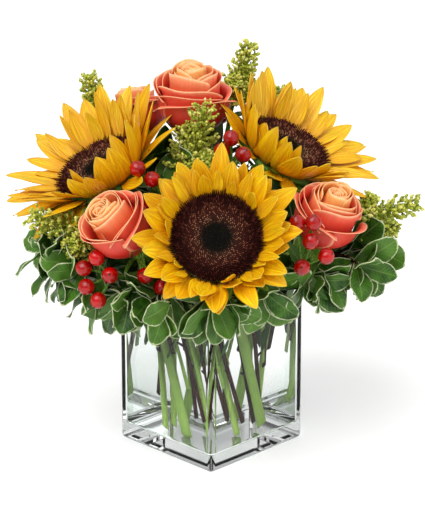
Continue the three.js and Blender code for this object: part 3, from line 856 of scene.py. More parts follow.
def stem_material(name, light, dark, wet, roughness):
    material, tree = new_material(name, Roughness=roughness, Specular_IOR_Level=0.2)
    place = object_place(tree)
    lengthwise = add(tree, "Mapping", {"Vector": place, "Scale": (1.0, 1.0, 0.06)}).outputs[0]
    ribs = grouped(tree, "mottle", Vector=lengthwise, Scale=1400.0)
    both = maths("MULTIPLY_ADD", ribs, 0.7, maths("MULTIPLY", mottled(tree, 90.0), 0.3))
    ribbed = mixed(remapped(both, 0.36, 0.62), paint(*dark), paint(*light))
    height = add(tree, "SeparateXYZ", {0: place}).outputs["Z"]
    level = WATER.level * MM
    soaked = remapped(height, level, level + SOAKED.fades_over, SOAKED.share, 0.0)
    return dressed(material, mixed(soaked, ribbed, paint(*wet)), ribs, 0.35, 0.0004)


GREEN_STEM = stem_material("green_stem_skin", (152, 194, 78), (78, 124, 34), (188, 218, 116), 0.5)
CALYX = stem_material("calyx_skin", (112, 146, 58), (60, 98, 34), (176, 210, 108), 0.6)
BARK = stem_material("brown_bark", (70, 38, 22), (24, 11, 6), (58, 26, 14), 0.75)
print("stem finishes:", GREEN_STEM.name, CALYX.name, BARK.name)

# %% [markdown]
# ## Sunflower discs
#
# The disc is a low dome packed with tiny florets that follow the golden angle. Near the rim they are open
# and stand out like velvet, the middle ring is browner, and the buds in the centre are nearly black. The
# dome is turned, and each floret is a small cone.

# %% Disc shapes
DISC = Sizes(florets=2100, batch=60, radius=32.6, sides=5)
DISC_DOME = [(0, -3), (31, -3), (32.6, -0.8), (31.6, 0.8), (28.5, 1.8), (22, 2.6), (15, 1.7), (8, 0.3),
             (0, 0)]


def dome_height(radius):
    return float(np.interp(radius, *zip(*DISC_DOME[:1:-1])))


def add_floret(bm, n):
    share = math.sqrt((n + 0.5) / DISC.florets)
    opened, outmost = smooth(share, 0.55, 0.8), smooth(share, 0.9, 1)
    radius = (DISC.radius - 0.4) * share
    lean = mix(-12, 30, share) + 35 * outmost + 10 * vary(5, n)
    tall = (mix(1.5, 3.3, opened) + 1.6 * outmost) * (1 + 0.3 * vary(6, n))
    cone = ops.create_cone(bm, cap_ends=True, segments=DISC.sides, radius1=0.66 - 0.2 * opened,
                                 radius2=0.24, depth=tall)["verts"]
    label(bm, cone, layer=share, tone=vary(7, n))
    label(bm, [v for v in cone if v.co.z > 0], along=1.0)
    turn = Matrix.Rotation(radians(GOLDEN_ANGLE * n), 4, "Z")
    foot = Matrix.Translation((radius, 0, dome_height(radius) - 0.5))
    leaning = Matrix.Rotation(radians(lean), 4, "Y") @ Matrix.Translation((0, 0, tall / 2))
    ops.transform(bm, matrix=turn @ foot @ leaning, verts=cone)


def make_disc(flower):
    bm = new_piece()
    add_turned(bm, DISC_DOME, 40)
    layer = bm.verts.layers.float["layer"]
    for v in bm.verts:
        v[layer] = v.co.xy.length / DISC.radius
    for first in range(0, DISC.florets, DISC.batch):
        part = new_piece()
        for n in range(first, first + DISC.batch):
            add_floret(part, n)
        pour(bm, part)
    ops.transform(bm, matrix=flower.frame, verts=bm.verts)
    return bm


print("a disc is", max(height for _, height in DISC_DOME), "mm high where it is highest")


# %% Disc finish
def disc_material():
    material, tree = new_material("seed_disc_florets", Roughness=0.8, Specular_IOR_Level=0.15)
    share, along, tone = attributes(tree, "layer", "along", "tone")
    base = painted(share, (0.0, 8, 9, 5), (0.3, 15, 12, 7), (0.42, 46, 24, 18), (0.62, 56, 20, 16),
                   (0.78, 42, 12, 10), (1.0, 38, 9, 7))
    tips = painted(share, (0.0, 36, 42, 20), (0.32, 50, 40, 24), (0.46, 200, 144, 108),
                   (0.68, 176, 110, 82), (0.82, 116, 54, 42), (1.0, 124, 62, 46))
    bright = maths("MULTIPLY", along, remapped(tone, 0.0, 1, 0.06, 1.0))
    return dressed(material, mixed(bright, base, tips), mottled(tree, 1500.0), 0.4, 0.0004)


DISC_FLORETS = disc_material()
for flower in SUNFLOWERS.values():
    finish_piece(flower.name + "_seeds", make_disc(flower), [flower.name + "_disc"],
                 DISC_FLORETS)

# %% [markdown]
# ## Room round the heads
#
# Flowers and berries keep each other's leaves and petals aside. Those that are added to the ones of the
# solids are left out where they would run into a flower or a berry. Each room is a cylinder: its frame, its
# reach from the axis, and its lowest and highest level.

# %% Room round the heads
SUNFLOWER_ROOM = [(flower.frame.inverted(), 60, -12, 60) for flower in SUNFLOWERS.values()]
ROSE_ROOM = [(rose.frame.inverted(), 35, -4, 60) for rose in ROSES.values()]
ROOM_ROUND_FRUIT = 13


def is_outside(point, rooms, spare=0):
    """Whether a point is in none of the rooms, each of them narrower and lower by spare."""
    for back, reach, low, high in rooms:
        local = back @ point
        if local.xy.length < reach - spare and low < local.z < high - spare:
            return False
    return True


def is_free(point):
    is_off_fruit = all((point - at).length > ROOM_ROUND_FRUIT for at in FRUIT)
    return is_off_fruit and is_outside(point, SUNFLOWER_ROOM + ROSE_ROOM)


def has_room(blade):
    spine = spine_points(blade.length, blade.bend, (0, 0.35, 0.7, 1))
    return all(is_free(blade.frame @ point) for point in spine[1:])


print(len(SUNFLOWER_ROOM + ROSE_ROOM), "rooms and", len(FRUIT), "berries to keep clear of")

# %% [markdown]
# ## Sunflower rays
#
# The rays stand in two rings round the disc, each a thin blade with lengthwise pleats. Those of the solid
# keep their places. A ring of shorter ones is added between them and the disc and a longer one behind,
# because a real head has both. In a ring, lift and width are a usual value and how much it varies.

# %% Ray shapes
RAYS = Sizes(radius=33.4, depth=4.9, width=19, per_whorl=12, thick=0.45)
RAY_STATIONS = (0, 0.34, 0.74, 1)
INNER_RING = Sizes(first=100, count=24, radius=32.8, depth=2.2, curl=14, lift=(15, 13), varies=0.26,
                   width=(0.6, 0.16))
OUTER_RING = Sizes(first=200, count=16, radius=32.5, depth=6.4, curl=-12, lift=(-10, 5), varies=0.1,
                   width=(0.88, 0.12))


def ray_outline(t):
    return min(1, 0.4 + 1.7 * t) * max(0.0, 1 - t ** 2.8) ** 0.78


def ray_section(seed, index):
    """Edges that rise a little, two pleats along the middle, and an edge that waves."""
    lift, wave = 0.2 + 0.14 * vary(seed + 8, index), 0.8 * vary(seed + 9, index)

    def section(side, t, half):
        pleats = 0.42 * cos(3 * pi * side) * (1 - t)
        return lift * half * side * side + pleats + wave * side * sin(5 * t + index)

    return section


print(INNER_RING.count + OUTER_RING.count, "rays to add to each head")


# %% Where the rays stand
def curl_at(flower, azimuth):
    return flower.curl * (cos(radians(azimuth - flower.curled_side)) * 0.5 + 0.5) ** 2


def cup_at(flower, azimuth):
    return flower.cup + flower.lift * sin(radians(azimuth))


def packed_rays(flower):
    """The rays of the solid, each with its number."""
    corners, seed = corners_of(flower.name + "_rays"), flower.seed
    for i in range(2 * RAYS.per_whorl):
        whorl = i % 2
        azimuth = 180 / RAYS.per_whorl * (i + 0.24 * vary(seed, i))
        curled = curl_at(flower, azimuth)
        raised = cup_at(flower, azimuth) + 14 * whorl - 7 + 24 * curled + 6 * vary(seed + 5, i)
        length = flower.length * (1 + 0.12 * vary(seed + 1, i) - 0.1 * curled - 0.06 * whorl)
        width = RAYS.width * (1 + 0.1 * vary(seed + 2, i))
        bend = -6 + 42 * curled + 14 * vary(seed + 3, i)

        def place(aside, tilt):
            return flower.frame @ spoke(azimuth + aside, RAYS.radius, -RAYS.depth, raised + tilt)

        found = find_pose(corners, place, length, bend, RAY_STATIONS)
        if found:
            yield i, Blade(found[1], length * found[0], width, bend, 10 * vary(seed + 4, i))


def ring_of_rays(flower, ring, usual_length):
    """A further ring, without the rays that would run into a rose."""
    seed = flower.seed + ring.first
    for i in range(ring.count):
        azimuth = 360 / ring.count * (i + 0.4 * vary(seed, i)) + 9
        curled = curl_at(flower, azimuth)
        lift = ring.lift[0] + ring.lift[1] * vary(seed + 1, i)
        raised = cup_at(flower, azimuth) + ring.curl * curled + lift
        ray = Blade(flower.frame @ spoke(azimuth, ring.radius, -ring.depth, raised),
                    flower.length * (usual_length + ring.varies * vary(seed + 2, i) - 0.14 * curled),
                    RAYS.width * (ring.width[0] + ring.width[1] * vary(seed + 3, i)),
                    24 * vary(seed + 4, i) + 26 * curled, 26 * vary(seed + 5, i))
        spine = spine_points(ray.length, ray.bend, RAY_STATIONS)
        if all(is_outside(ray.frame @ point, ROSE_ROOM, 9) for point in spine[1:]):
            yield ring.first + i, ray


def make_rays(flower):
    bm, seed = new_piece(), flower.seed
    added = [*ring_of_rays(flower, INNER_RING, 0.68), *ring_of_rays(flower, OUTER_RING, flower.outer)]
    for i, ray in [*packed_rays(flower), *added]:
        add_blade(bm, ray, ray_outline, ray_section(seed, i), 6, 9, tone=vary(seed + 10, i))
    return bm


print("the front head's top is", cup_at(SUNFLOWERS["front"], 90), "degrees up")


# %% Ray finish
def ray_material():
    material, tree = new_material("sunflower_ray_skin", Roughness=0.42, Subsurface_Weight=0.12,
                                  Subsurface_Scale=0.002)
    across, along, tone = attributes(tree, "across", "along", "tone")
    skin = painted(along, (0.0, 170, 98, 2), (0.14, 228, 162, 2), (0.4, 250, 200, 6),
                   (0.85, 255, 216, 16), (1.0, 255, 226, 66))
    orange = mixed(remapped(tone, -1, 1, 0.0, 0.45), skin, paint(244, 174, 2))
    lines = grouped(tree, "fibres", Across=across, Along=along, Count=7.0, Seed=tone)
    veined = mixed(maths("MULTIPLY", lines, 0.62), orange, paint(220, 140, 2))
    return dressed(material, veined, lines, 0.7, 0.0008)


RAY_SKIN = ray_material()
for flower in SUNFLOWERS.values():
    finish_piece(flower.name + "_petals", make_rays(flower), [flower.name + "_rays"],
                 RAY_SKIN, RAYS.thick)

# %% [markdown]
# ## Behind the sunflowers
#
# The green calyx is a shallow cup under the disc, clothed in pointed bracts, and the stem is thick and
# hairy.

# %% Calyx and stem
CALYX_CUP = [(0, -23), (5.5, -22), (20, -16.5), (33.5, -9.8), (34, -8.2), (33, -7), (28.2, -6.9),
             (27.8, -3.6), (0, -3.5)]
BRACTS = Sizes(length=24, width=15, bend=20)
BRACT_ROWS = [(8, 29, -10.9, 8, 1.0), (10, 30, -9.6, 22, 0.8), (10, 24, -14, 2, 0.8)]


def bract_outline(t):
    return max(0, 1 - t) ** 0.8 * (0.75 + 1.1 * t)


def bract_section(side, t, half):
    return 0.2 * half * side * side


def make_calyx(flower):
    bm, seed = new_piece(), flower.seed
    add_turned(bm, CALYX_CUP, 32)
    for row, (count, radius, height, raised, size) in enumerate(BRACT_ROWS):
        for i in range(count):
            tilt = raised + 7 * vary(seed + 7, i + 10 * row)
            place = spoke(360 / count * i + 15 * row, radius, height, tilt)
            length = (BRACTS.length + 4 * vary(seed + 6, i)) * size
            bract = Blade(place, length, BRACTS.width * size, BRACTS.bend, 8 * vary(seed + 30, i))
            add_blade(bm, bract, bract_outline, bract_section, 4, 6, tone=vary(seed + 31, i))
    ops.transform(bm, matrix=flower.frame, verts=bm.verts)
    add_stem(bm, flower)
    return bm


for flower in SUNFLOWERS.values():
    finish_piece(flower.name + "_calyx", make_calyx(flower), [flower.node], CALYX)

# %% [markdown]
# ## Roses
#
# A rose is a tight spiral of petals round a bud, and each petal is a curved sheet that is wider towards its
# lip. The outer petals open, their lips roll back and their sides fold away, which gives each one its
# point. The colour runs from coral red low on the back of a petal to pale peach at its lip.

# %% Rose petals
ROSE = Sizes(height=50, petals=16, heart=9, steps=10, thick=0.36)


def petal_place(seed, azimuth, span, height, belly, lip, share, index):
    """Gives the points of one petal. share is 0 at the heart and 1 outside."""
    def place(side, k):
        v = k / ROSE.steps
        opening = smooth(v, 0.45, 1)
        roll = share * smooth(v, 0.7, 1)
        radius = mix(7, belly, sin(min(1, v / 0.5) * pi / 2)) + (lip - belly) * opening
        radius += mix(1.8, 1.2, share) * side + roll * (4.2 + 1.2 * side * side)
        radius = max(radius + 0.7 * share * opening * sin(4 * side + seed + index), 0.4)
        angle = azimuth + side * span / 2 * mix(0.55, 1, smooth(v, 0, 0.45))
        short = mix(0.05, 0.2, share) * abs(side) ** 3 * smooth(v, 0.3, 1)
        z = 2 + height * v * (1 - short) - 8 * roll * roll
        z += 0.7 * opening * sin(5 * side + 2 * index + seed)
        point = Vector((radius * cos(angle), radius * sin(angle), z))
        return point, v, min((1 - abs(side)) * 18, (1 - v) * height)

    return place


def make_bloom(rose):
    bm, seed = new_piece(), rose.seed
    for j in range(ROSE.heart):
        share = j / ROSE.heart
        azimuth = radians(GOLDEN_ANGLE * j + 40 * seed + 70)
        place = petal_place(seed, azimuth, radians(220), 44 + 5 * share, mix(5, 12, share),
                            mix(1.2, 7.6, share), 0, j)
        add_sheet(bm, ROSE.steps, ROSE.steps, place, layer=0.0, tone=vary(seed + 3, j))
    for i in range(ROSE.petals):
        share = i / (ROSE.petals - 1)
        third = i % 3
        azimuth = radians(GOLDEN_ANGLE * (i // 3) + 120 * third + 40 * seed + 14 * third * vary(seed + 2, i))
        height = ROSE.height - 9 * share ** 1.4 + 2 * vary(seed, i) - 1.4 * third * share
        place = petal_place(seed, azimuth, radians(mix(170, 142, share)), height, mix(12.5, 25, share),
                            mix(8.4, 26.5, share ** 1.2) + 1.6 * share * vary(seed + 5, i), share, i)
        add_sheet(bm, ROSE.steps, ROSE.steps, place, layer=share, tone=vary(seed + 4, i))
    ops.transform(bm, matrix=rose.frame @ Matrix.Scale(rose.size, 4), verts=bm.verts)
    return bm


print(ROSE.heart + ROSE.petals, "petals in each rose")


# %% Rose finish
def rose_material():
    material, tree = new_material("rose_petal_skin", Roughness=0.5, Subsurface_Weight=0.15,
                                  Subsurface_Scale=0.003)
    across, along, tone, layer, rim = attributes(tree, *NUMBERS)
    outer = painted(along, (0.0, 172, 18, 12), (0.4, 208, 44, 32), (0.74, 230, 84, 64),
                    (0.91, 242, 122, 92), (1.0, 250, 182, 138))
    inner = painted(along, (0.0, 226, 88, 40), (0.75, 242, 132, 66), (0.95, 250, 176, 100),
                    (1.0, 254, 206, 136))
    skin = mixed(remapped(layer, 0.1, 0.6), inner, outer)
    edged = mixed(remapped(rim, 0.2, 1.8, 0.6, 0.0), skin, paint(250, 190, 140))
    lines = grouped(tree, "fibres", Across=across, Along=along, Count=12.0, Seed=tone)
    veined = mixed(maths("MULTIPLY", lines, 0.12), edged, paint(196, 52, 30))
    return dressed(material, veined, lines, 0.2, 0.0004)


ROSE_SKIN = rose_material()
for rose in ROSES.values():
    finish_piece(rose.name + "_petals", make_bloom(rose), [rose.name + "_bloom"], ROSE_SKIN,
                 ROSE.thick)

# %% Rose hips, sepals and stems
HIP = [(0, -11), (3.2, -11), (5.2, -8.5), (6.5, -5), (6.4, -1), (0, 0)]
SEPALS = Sizes(count=5, length=24, width=8, bend=-30)


def sepal_outline(t):
    return max(0, 1 - t) ** 0.7 * (0.8 + 0.6 * t)


def make_hip(rose):
    bm = new_piece()
    add_turned(bm, HIP, 20)
    for i in range(SEPALS.count):
        place = spoke(360 / SEPALS.count * i + 17 * rose.seed, 4.5, -3.6, -14)
        sepal = Blade(place, SEPALS.length, SEPALS.width, SEPALS.bend, 20 * vary(rose.seed, i))
        add_blade(bm, sepal, sepal_outline, bract_section, 4, 7)
    ops.transform(bm, matrix=rose.frame, verts=bm.verts)
    add_stem(bm, rose)
    return bm


for rose in ROSES.values():
    finish_piece(rose.name + "_hip", make_hip(rose), [rose.node], GREEN_STEM)

# %% [markdown]
# ## Goldenrod
#
# A plume is hundreds of tiny florets on short side shoots that arch out from its spine. Each floret is a
# rounded bud with few faces, and some are greener than others. Their colour runs at random from a dark
# green, which is painted shade, to a pale cream, which is a painted highlight.

# %% Goldenrod shapes
PLUME = Sizes(shoots=42, florets=13, floret=1.15, main_reach=0.92, branch_reach=0.8, end=0.94)
BRANCH_SIZES = (1, 0.8, 0.6)


def curve_point(points, t):
    if len(points) == 2:
        return points[0].lerp(points[1], t)
    a, b, c = points
    return a * (1 - t) ** 2 + b * 2 * t * (1 - t) + c * t * t


def add_plume(bm, points, reach, seed):
    for k in range(PLUME.shoots):
        share = (k + 0.5) / PLUME.shoots
        start, ahead = (curve_point(points, t * PLUME.end) for t in (share, share + 0.02))
        turn = Matrix.Rotation(radians(GOLDEN_ANGLE * k + 40 * seed), 4, "Z")
        root = facing(start, ahead - start) @ turn
        length = reach * (1 - 0.62 * share) * (1 + 0.22 * vary(seed, k))
        shoot = new_piece()
        for n in range(PLUME.florets):
            far = (n + 1) / PLUME.florets
            rise = 0.6 * length * far + vary(seed + n, k + 9)
            out = Matrix.Translation((length * sin(far * 1.25), 3 * vary(seed + n, k), rise))
            place = root @ out @ Matrix.Rotation(0.8 * far, 4, "Y") @ Matrix.Diagonal((1, 1, 1.35, 1))
            size = PLUME.floret * (1 + 0.35 * vary(seed + 2 * n, k)) * mix(1.1, 0.85, share)
            bud = ops.create_icosphere(shoot, subdivisions=1, radius=size, matrix=place)["verts"]
            label(shoot, bud, tone=vary(seed + 3 * n, k + 5), along=far)
        pour(bm, shoot)
    spine = [curve_point(points, t / 8 * PLUME.end) for t in range(9)]
    add_tube(bm, spine, [0.9 - 0.07 * k for k in range(9)], 6, tone=-1.0)


def make_plumes(spray):
    """The spray's main plume and its branches, of which some came out shorter and some found no room."""
    bm = new_piece()
    add_plume(bm, (spray.head, spray.end), spray.reach * PLUME.main_reach, spray.seed)
    corners, length = corners_of(spray.name + "_plume"), (spray.end - spray.head).length
    for i in range(2):
        turned = spray.frame @ spoke(180 * i + 35 * spray.seed + 90, 0, 0, 0)

        def route(shrink):
            reach, rise = spray.reach * shrink, mix(0.35, 0.55, i) * length * shrink
            path = [(0, 0, 1.5), (0.5 * reach, 0, 0.12 * length), (1.1 * reach, 0, rise)]
            return [turned @ Vector(point) for point in path]

        def gap(shrink):
            return gaps_to(corners, curve_point(route(shrink), PLUME.end)).min()

        shrink = min(BRANCH_SIZES, key=gap)
        if gap(shrink) < ON_CORNER:
            add_plume(bm, route(shrink), spray.reach * PLUME.branch_reach, spray.seed + i + 1)
    return bm


print(PLUME.shoots * PLUME.florets, "florets in each plume or branch")


# %% Goldenrod finish
def floret_material():
    material, tree = new_material("goldenrod_florets", Roughness=0.7)
    tone, along = attributes(tree, "tone", "along")
    blotches = maths("MULTIPLY_ADD", mottled(tree, 260.0), 0.4, 0.3)
    # Painted shade at the dark green end of this ramp and a painted highlight at its pale cream end, spread
    # over the florets at random.
    skin = painted(maths("MULTIPLY_ADD", tone, 0.3, blotches), (0.0, 74, 98, 24),
                   (0.3, 150, 166, 42), (0.62, 220, 216, 90), (1.0, 246, 243, 166))
    colour = mixed(along, paint(146, 158, 34), skin)
    return dressed(material, colour, mottled(tree, 1800.0), 0.5, 0.0005)


FLORET_SKIN = floret_material()
for spray in GOLDENROD.values():
    finish_piece(spray.name + "_florets", make_plumes(spray), [spray.name + "_plume"],
                 FLORET_SKIN)
    stalk = new_piece()
    add_stem(stalk, spray)
    finish_piece(spray.name + "_stalk", stalk, [spray.node], CALYX)

# %% [markdown]
# ## Berries
#
# Hypericum berries are smooth, hard and glossy, slightly longer than wide, with a small dark point at the
# tip and five green sepals behind. The fruit is one piece and its stalks, sepals and stem are another,
# because they are different colours.

# %% Berry shapes
BERRY = Sizes(radius=6.4, point=0.9, stalk=1.1, sepals=5, sepal=(7.5, 4.4))


def add_berry(bm, place, direction, tone):
    turned = facing(place, direction)
    verts = ops.create_icosphere(bm, subdivisions=4, radius=BERRY.radius)["verts"]
    along = bm.verts.layers.float["along"]
    for v in verts:
        height = v[along] = v.co.z / BERRY.radius
        narrow = 0.96 - 0.08 * smooth(height, 0.2, 1)
        point = BERRY.point * smooth(height, 0.985, 1)
        v.co = turned @ Vector((v.co.x * narrow, v.co.y * narrow, v.co.z + point))
    label(bm, verts, tone=tone)


def make_berries(bunch):
    fruit, green, fork = new_piece(), new_piece(), bunch.head
    for n, at in enumerate(bunch.fruit):
        direction = (at - fork).normalized()
        add_berry(fruit, at, direction, vary(bunch.seed + n, 1))
        side = direction.orthogonal().normalized() * 3 * vary(bunch.seed, n)
        bend = [fork, (fork + at) / 2 + side, at - direction * 4]
        add_tube(green, [curve_point(bend, t / 6) for t in range(7)], [BERRY.stalk] * 7, 7)
        for i in range(BERRY.sepals):
            place = facing(at, direction) @ spoke(72 * i + 20 * n, 0.8, -BERRY.radius * 0.98, 12)
            add_blade(green, Blade(place, *BERRY.sepal, 62, 0), sepal_outline, bract_section, 2, 4)
    add_stem(green, bunch)
    return fruit, green


print("a berry is", 2 * BERRY.radius + BERRY.point, "mm long")


# %% Berry finish
def berry_material():
    material, tree = new_material("red_berry_skin", Roughness=0.25, Specular_IOR_Level=0.3, Coat_Weight=0.35,
                                  Coat_Roughness=0.05)
    along, tone = attributes(tree, "along", "tone")
    skin = mixed(mottled(tree, 110.0), paint(140, 2, 4), paint(190, 10, 8))
    toned = mixed(remapped(tone, -1, 1, 0.0, 0.35), skin, paint(116, 2, 4))
    tipped = mixed(remapped(along, 0.975, 0.995), toned, paint(40, 18, 8))
    return dressed(material, tipped, mottled(tree, 420.0), 0.08, 0.0006)


BERRY_SKIN = berry_material()
for bunch in BERRIES.values():
    fruit, green = make_berries(bunch)
    finish_piece(bunch.name + "_fruit", fruit, [bunch.node], BERRY_SKIN)
    finish_piece(bunch.name + "_twigs", green, [bunch.node], CALYX)

# %% [markdown]
# ## Foliage
#
# The leaves are broad towards their end, leathery, dark green and edged with a thin cream line that waves
# in and out. They crowd at the tips of brown shoots. The leaves of the solid keep their places and more are
# set between them, since a real shoot is denser.

# %% Leaf shapes
LEAF = Sizes(length=42, width=24, thick=0.45, extra=8)
LEAF_STATIONS = (0, 0.42, 0.8, 1)


def leaf_outline(t):
    return max(0.0, sin(pi * (0.02 + 0.98 * t ** 1.45))) ** 0.62 * smooth(t, -0.25, 0.3)


def leaf_section(seed, index):
    """A fold along the middle and an edge that waves."""
    fold, phase = 0.2 + 0.1 * vary(seed + 5, index), 6 * vary(seed + 6, index)

    def section(side, t, half):
        wave = 1.4 * sin(15 * t + phase + 1.5 * side) * abs(side) ** 2 * smooth(t, 0.1, 0.4)
        return fold * half * abs(side) ** 1.5 + wave

    return section


def packed_leaves(shoot):
    """The leaves of the solid, each with its number."""
    corners, seed = corners_of(shoot.node), shoot.seed
    for i in range(shoot.leaves):
        share = i / (shoot.leaves - 1)
        root = shoot.stem.frame_at(0.985 - 0.1 * share)
        azimuth = GOLDEN_ANGLE * i + 50 * seed + 90
        raised = 90 - mix(28, 78, share) - 8 * vary(seed, i)
        size = mix(0.8, 1.05, share) + 0.1 * vary(seed + 1, i)
        bend = -20 + 12 * vary(seed + 2, i)

        def place(aside, tilt):
            return root @ spoke(azimuth + 3 * aside, 0, 0, raised - tilt)

        found = find_pose(corners, place, LEAF.length * size, bend, LEAF_STATIONS)
        if found:
            width = LEAF.width * size * (0.4 + 0.6 * found[0])
            yield i, Blade(found[1], LEAF.length * size * found[0], width, bend, 16 * vary(seed + 3, i))


def extra_leaves(stem, first, count, low, high, seed):
    """Leaves between two shares of a stem's length, the topmost first, each with its number."""
    for i in range(count):
        share = (i + 0.5) / count
        raised = 90 - mix(28, 82, share) - 16 * vary(seed + 40, i)
        size = mix(0.76, 1.05, share) + 0.16 * vary(seed + 41, i)
        azimuth = GOLDEN_ANGLE * (i + 0.5) + 50 * seed + 20 + 26 * vary(seed + 44, i)
        place = stem.frame_at(mix(high, low, share)) @ spoke(azimuth, 0, 0, raised)
        yield first + i, Blade(place, LEAF.length * size, LEAF.width * size, -26 + 20 * vary(seed + 42, i),
                               26 * vary(seed + 43, i))


print("a full leaf is", LEAF.length, "mm long")

# %% Twigs
TWIG = Sizes(length=34, leaves=7, radii=(1.3, 1.2, 1.1, 0.9, 0.7))
STUBS = Sizes(count=5, length=8, radii=(1.5, 1.1, 0.8))


class Twig(Stem):
    """A short side shoot that leaves a stem sideways, never downwards, and droops a little."""

    def __init__(self, stem, along, azimuth, length, seed):
        root = stem.frame_at(along) @ spoke(azimuth, 0, 0, 38 + 16 * vary(seed, 1))
        self.start = root.translation
        self.out = (root.to_3x3() @ Vector((0, 1, 0))) * length
        self.out.z = max(self.out.z, 0.25 * length)
        self.droop = Vector((0, 0, -0.2 * length))

    def at(self, t):
        return self.start + self.out * t + self.droop * t * t

    def heading_at(self, t):
        return (self.out + self.droop * 2 * t).normalized()


def free_twigs(shoot):
    seed = shoot.seed
    for i in range(shoot.sides):
        along = 0.9 - 0.1 * i + 0.03 * vary(seed + 60, i)
        azimuth = 137 * i + 80 * seed + 30 * vary(seed + 61, i)
        twig = Twig(shoot.stem, along, azimuth, TWIG.length * (1 + 0.25 * vary(seed + 62, i)), seed + i)
        if is_free(twig.at(0.6)) and is_free(twig.at(1)):
            yield twig


def is_in_vase(point, spare):
    return abs(point.x) + abs(point.y) < (HOLLOW_SIDE / 2 - spare) * math.sqrt(2)


def add_stubs(bm, shoot):
    """Stumps of twigs that were trimmed off below the water line."""
    for i in range(STUBS.count):
        root = shoot.stem.frame_at(0.09 + 0.04 * i + 0.01 * vary(shoot.seed + 80, i))
        out = spoke(GOLDEN_ANGLE * i + 70 * shoot.seed, 0, 0, 42)
        end = root @ out @ Vector((0, STUBS.length + 3 * vary(shoot.seed + 81, i), 0))
        if is_in_vase(end, 3):
            start = root.translation
            add_tube(bm, [start, start.lerp(end, 0.6), end], STUBS.radii, 6)


def make_wood(shoot, twigs):
    bm = new_piece()
    add_stem(bm, shoot)
    for twig in twigs:
        add_tube(bm, [twig.at(k / 4) for k in range(5)], TWIG.radii, 6)
    add_stubs(bm, shoot)
    return bm


def make_leaves(shoot, twigs):
    bm, seed = new_piece(), shoot.seed
    extra = [*extra_leaves(shoot.stem, 50, LEAF.extra + 2 * shoot.sides, 0.7, 0.99, seed)]
    for j, twig in enumerate(twigs):
        extra += extra_leaves(twig, 80 + 20 * j, TWIG.leaves, 0.35, 0.98, seed + 70 + j)
    for i, leaf in [*packed_leaves(shoot), *((i, leaf) for i, leaf in extra if has_room(leaf))]:
        add_blade(bm, leaf, leaf_outline, leaf_section(seed, i), 4, 9, tone=vary(seed + 7, i))
    return bm


print(sum(shoot.sides for shoot in SPRIGS.values()), "twigs to find room for")


# %% Leaf finish
def leaf_material(name, dark, light, pale, edging):
    material, tree = new_material(name, Roughness=0.42, Specular_IOR_Level=0.28)
    across, along, tone, rim = attributes(tree, "across", "along", "tone", "rim")
    green = mixed(mottled(tree, 120.0), paint(*dark), paint(*light))
    toned = mixed(remapped(tone, -1, 1, 0.0, 0.55), green, paint(*pale))
    beside = maths("ABSOLUTE", across)
    midrib = remapped(beside, 0.0, 0.07, 0.5, 0.0)
    slanted = maths("MULTIPLY", maths("MULTIPLY_ADD", beside, -0.22, along), 11.0)
    side_veins = remapped(maths("PINGPONG", slanted, 0.5), 0.0, 0.09, 0.3, 0.0)
    veins = maths("MAXIMUM", midrib, side_veins)
    lined = mixed(veins, toned, paint(132, 160, 84))
    uneven = maths("MULTIPLY_ADD", mottled(tree, 300.0), -0.9, rim)
    edge = remapped(uneven, 0.05, 0.4, edging, 0.0)
    return dressed(material, mixed(edge, lined, paint(222, 226, 184)), veins, -0.4, 0.0006)


LEAF_SKIN = leaf_material("cream_edged_leaf", (30, 64, 18), (66, 110, 30), (94, 136, 50), 0.62)
for shoot in SPRIGS.values():
    twigs = list(free_twigs(shoot))
    finish_piece(shoot.name + "_leaves", make_leaves(shoot, twigs), [shoot.node], LEAF_SKIN,
                 LEAF.thick)
    finish_piece(shoot.name + "_twig", make_wood(shoot, twigs), [shoot.node], BARK)

# %% [markdown]
# ## Leaves of the flowers
#
# The flowers keep some plain leaves of their own just above the rim, which close the middle of the bouquet:
# heart shapes on the sunflowers, pointed ovals on the roses and narrow blades on the goldenrod. A few rise
# behind the blooms, and one hangs under water on each thick stem.

# %% Plain leaves
PLAIN = table(
    "count low high length width open",
    sunflower=(6, 0.42, 0.84, 50, 32, 62),
    rose=(17, 0.48, 0.98, 42, 22, 66),
    goldenrod=(18, 0.4, 0.97, 36, 9, 50),
    berries=(12, 0.5, 0.99, 36, 15, 54),
)
PLAIN_THICKNESS = 0.4
RISING = {  # where each leaf starts as a share of the stem's length, its azimuth, its rise and its length
    "rose_top": [(0.75, 52, 44, 58), (0.75, 313, 42, 54)],
    "rose_back": [(0.75, 288, 58, 66)],
    "rose_right": [(0.66, 150, 12, 48), (0.74, 118, 20, 44)],
}


def pointed_outline(t):
    return max(0.0, 1 - t) ** 0.75 * min(1, 0.3 + 3 * t) * (1 + 0.7 * t)


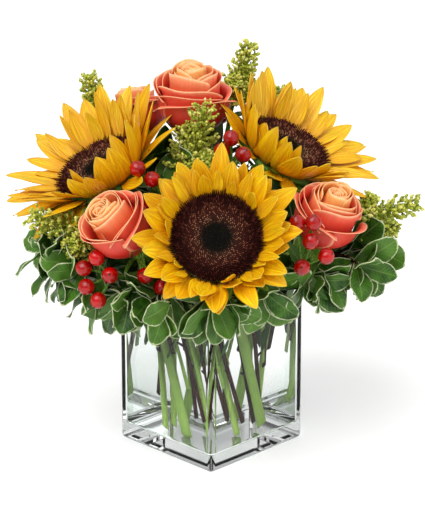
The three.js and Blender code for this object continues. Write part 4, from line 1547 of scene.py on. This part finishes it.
def add_plain_leaf(bm, leaf, section, tone):
    add_blade(bm, leaf, pointed_outline, section, 4, 8, tone=tone)


def make_plain_leaves(plant, seed):
    bm, usual = new_piece(), PLAIN[plant.kind]
    for i in range(usual.count):
        share = i / (usual.count - 1)
        size = (1 - 0.25 * share) * (1 + 0.12 * vary(seed + 1, i))
        raised = 90 - usual.open + 20 * vary(seed, i)
        root = plant.stem.frame_at(mix(usual.low, usual.high, share))
        leaf = Blade(root @ spoke(GOLDEN_ANGLE * i + 60 * seed, 0, 0, raised), usual.length * size,
                     usual.width * size, -24 + 14 * vary(seed + 2, i), 16 * vary(seed + 3, i))
        if has_room(leaf):
            add_plain_leaf(bm, leaf, leaf_section(seed, i), vary(seed + 4, i))
    return bm


def add_rising_leaf(bm, stem, along, azimuth, rise, length):
    place = Matrix.Translation(stem.at(along)) @ spoke(azimuth, 0, 0, rise)
    add_plain_leaf(bm, Blade(place, length, 0.5 * length, 12, 8), leaf_section(azimuth, rise), -0.4)


def add_wet_leaf(bm, stem, seed):
    """A leaf that was left on the stem under water and hangs down there, off to one side."""
    base = stem.at(0.2)
    sideways = math.degrees(math.atan2(base.y, base.x)) - 90
    place = Matrix.Translation(base) @ spoke(sideways + 25 * vary(seed, 9), 0, 0, -72)
    leaf = Blade(place, 44, 12, 12, 20)
    if is_in_vase(place @ spine_points(leaf.length, leaf.bend, (0, 0.5, 1))[-1], 5):
        add_plain_leaf(bm, leaf, leaf_section(seed, 3), 1.0)


print(sum(len(leaves) for leaves in RISING.values()), "leaves rise behind the blooms")

# %% Finish the plain leaves
# These leaves are a darker green than the cream-edged ones: partly their own colour and partly painted shade
# for the deep middle of the bouquet.
PLAIN_SKIN = leaf_material("plain_leaf", (22, 48, 16), (52, 92, 28), (70, 112, 40), 0.0)
for plant in PLANTS:
    if plant.kind in PLAIN:
        seed = len(plant.node)
        bm = make_plain_leaves(plant, seed)
        if plant.kind in ("sunflower", "rose"):
            add_wet_leaf(bm, plant.stem, seed)
        for leaf in RISING.get(plant.name, ()):
            add_rising_leaf(bm, plant.stem, *leaf)
        finish_piece(plant.name + "_leaves", bm, [plant.node], PLAIN_SKIN, PLAIN_THICKNESS)
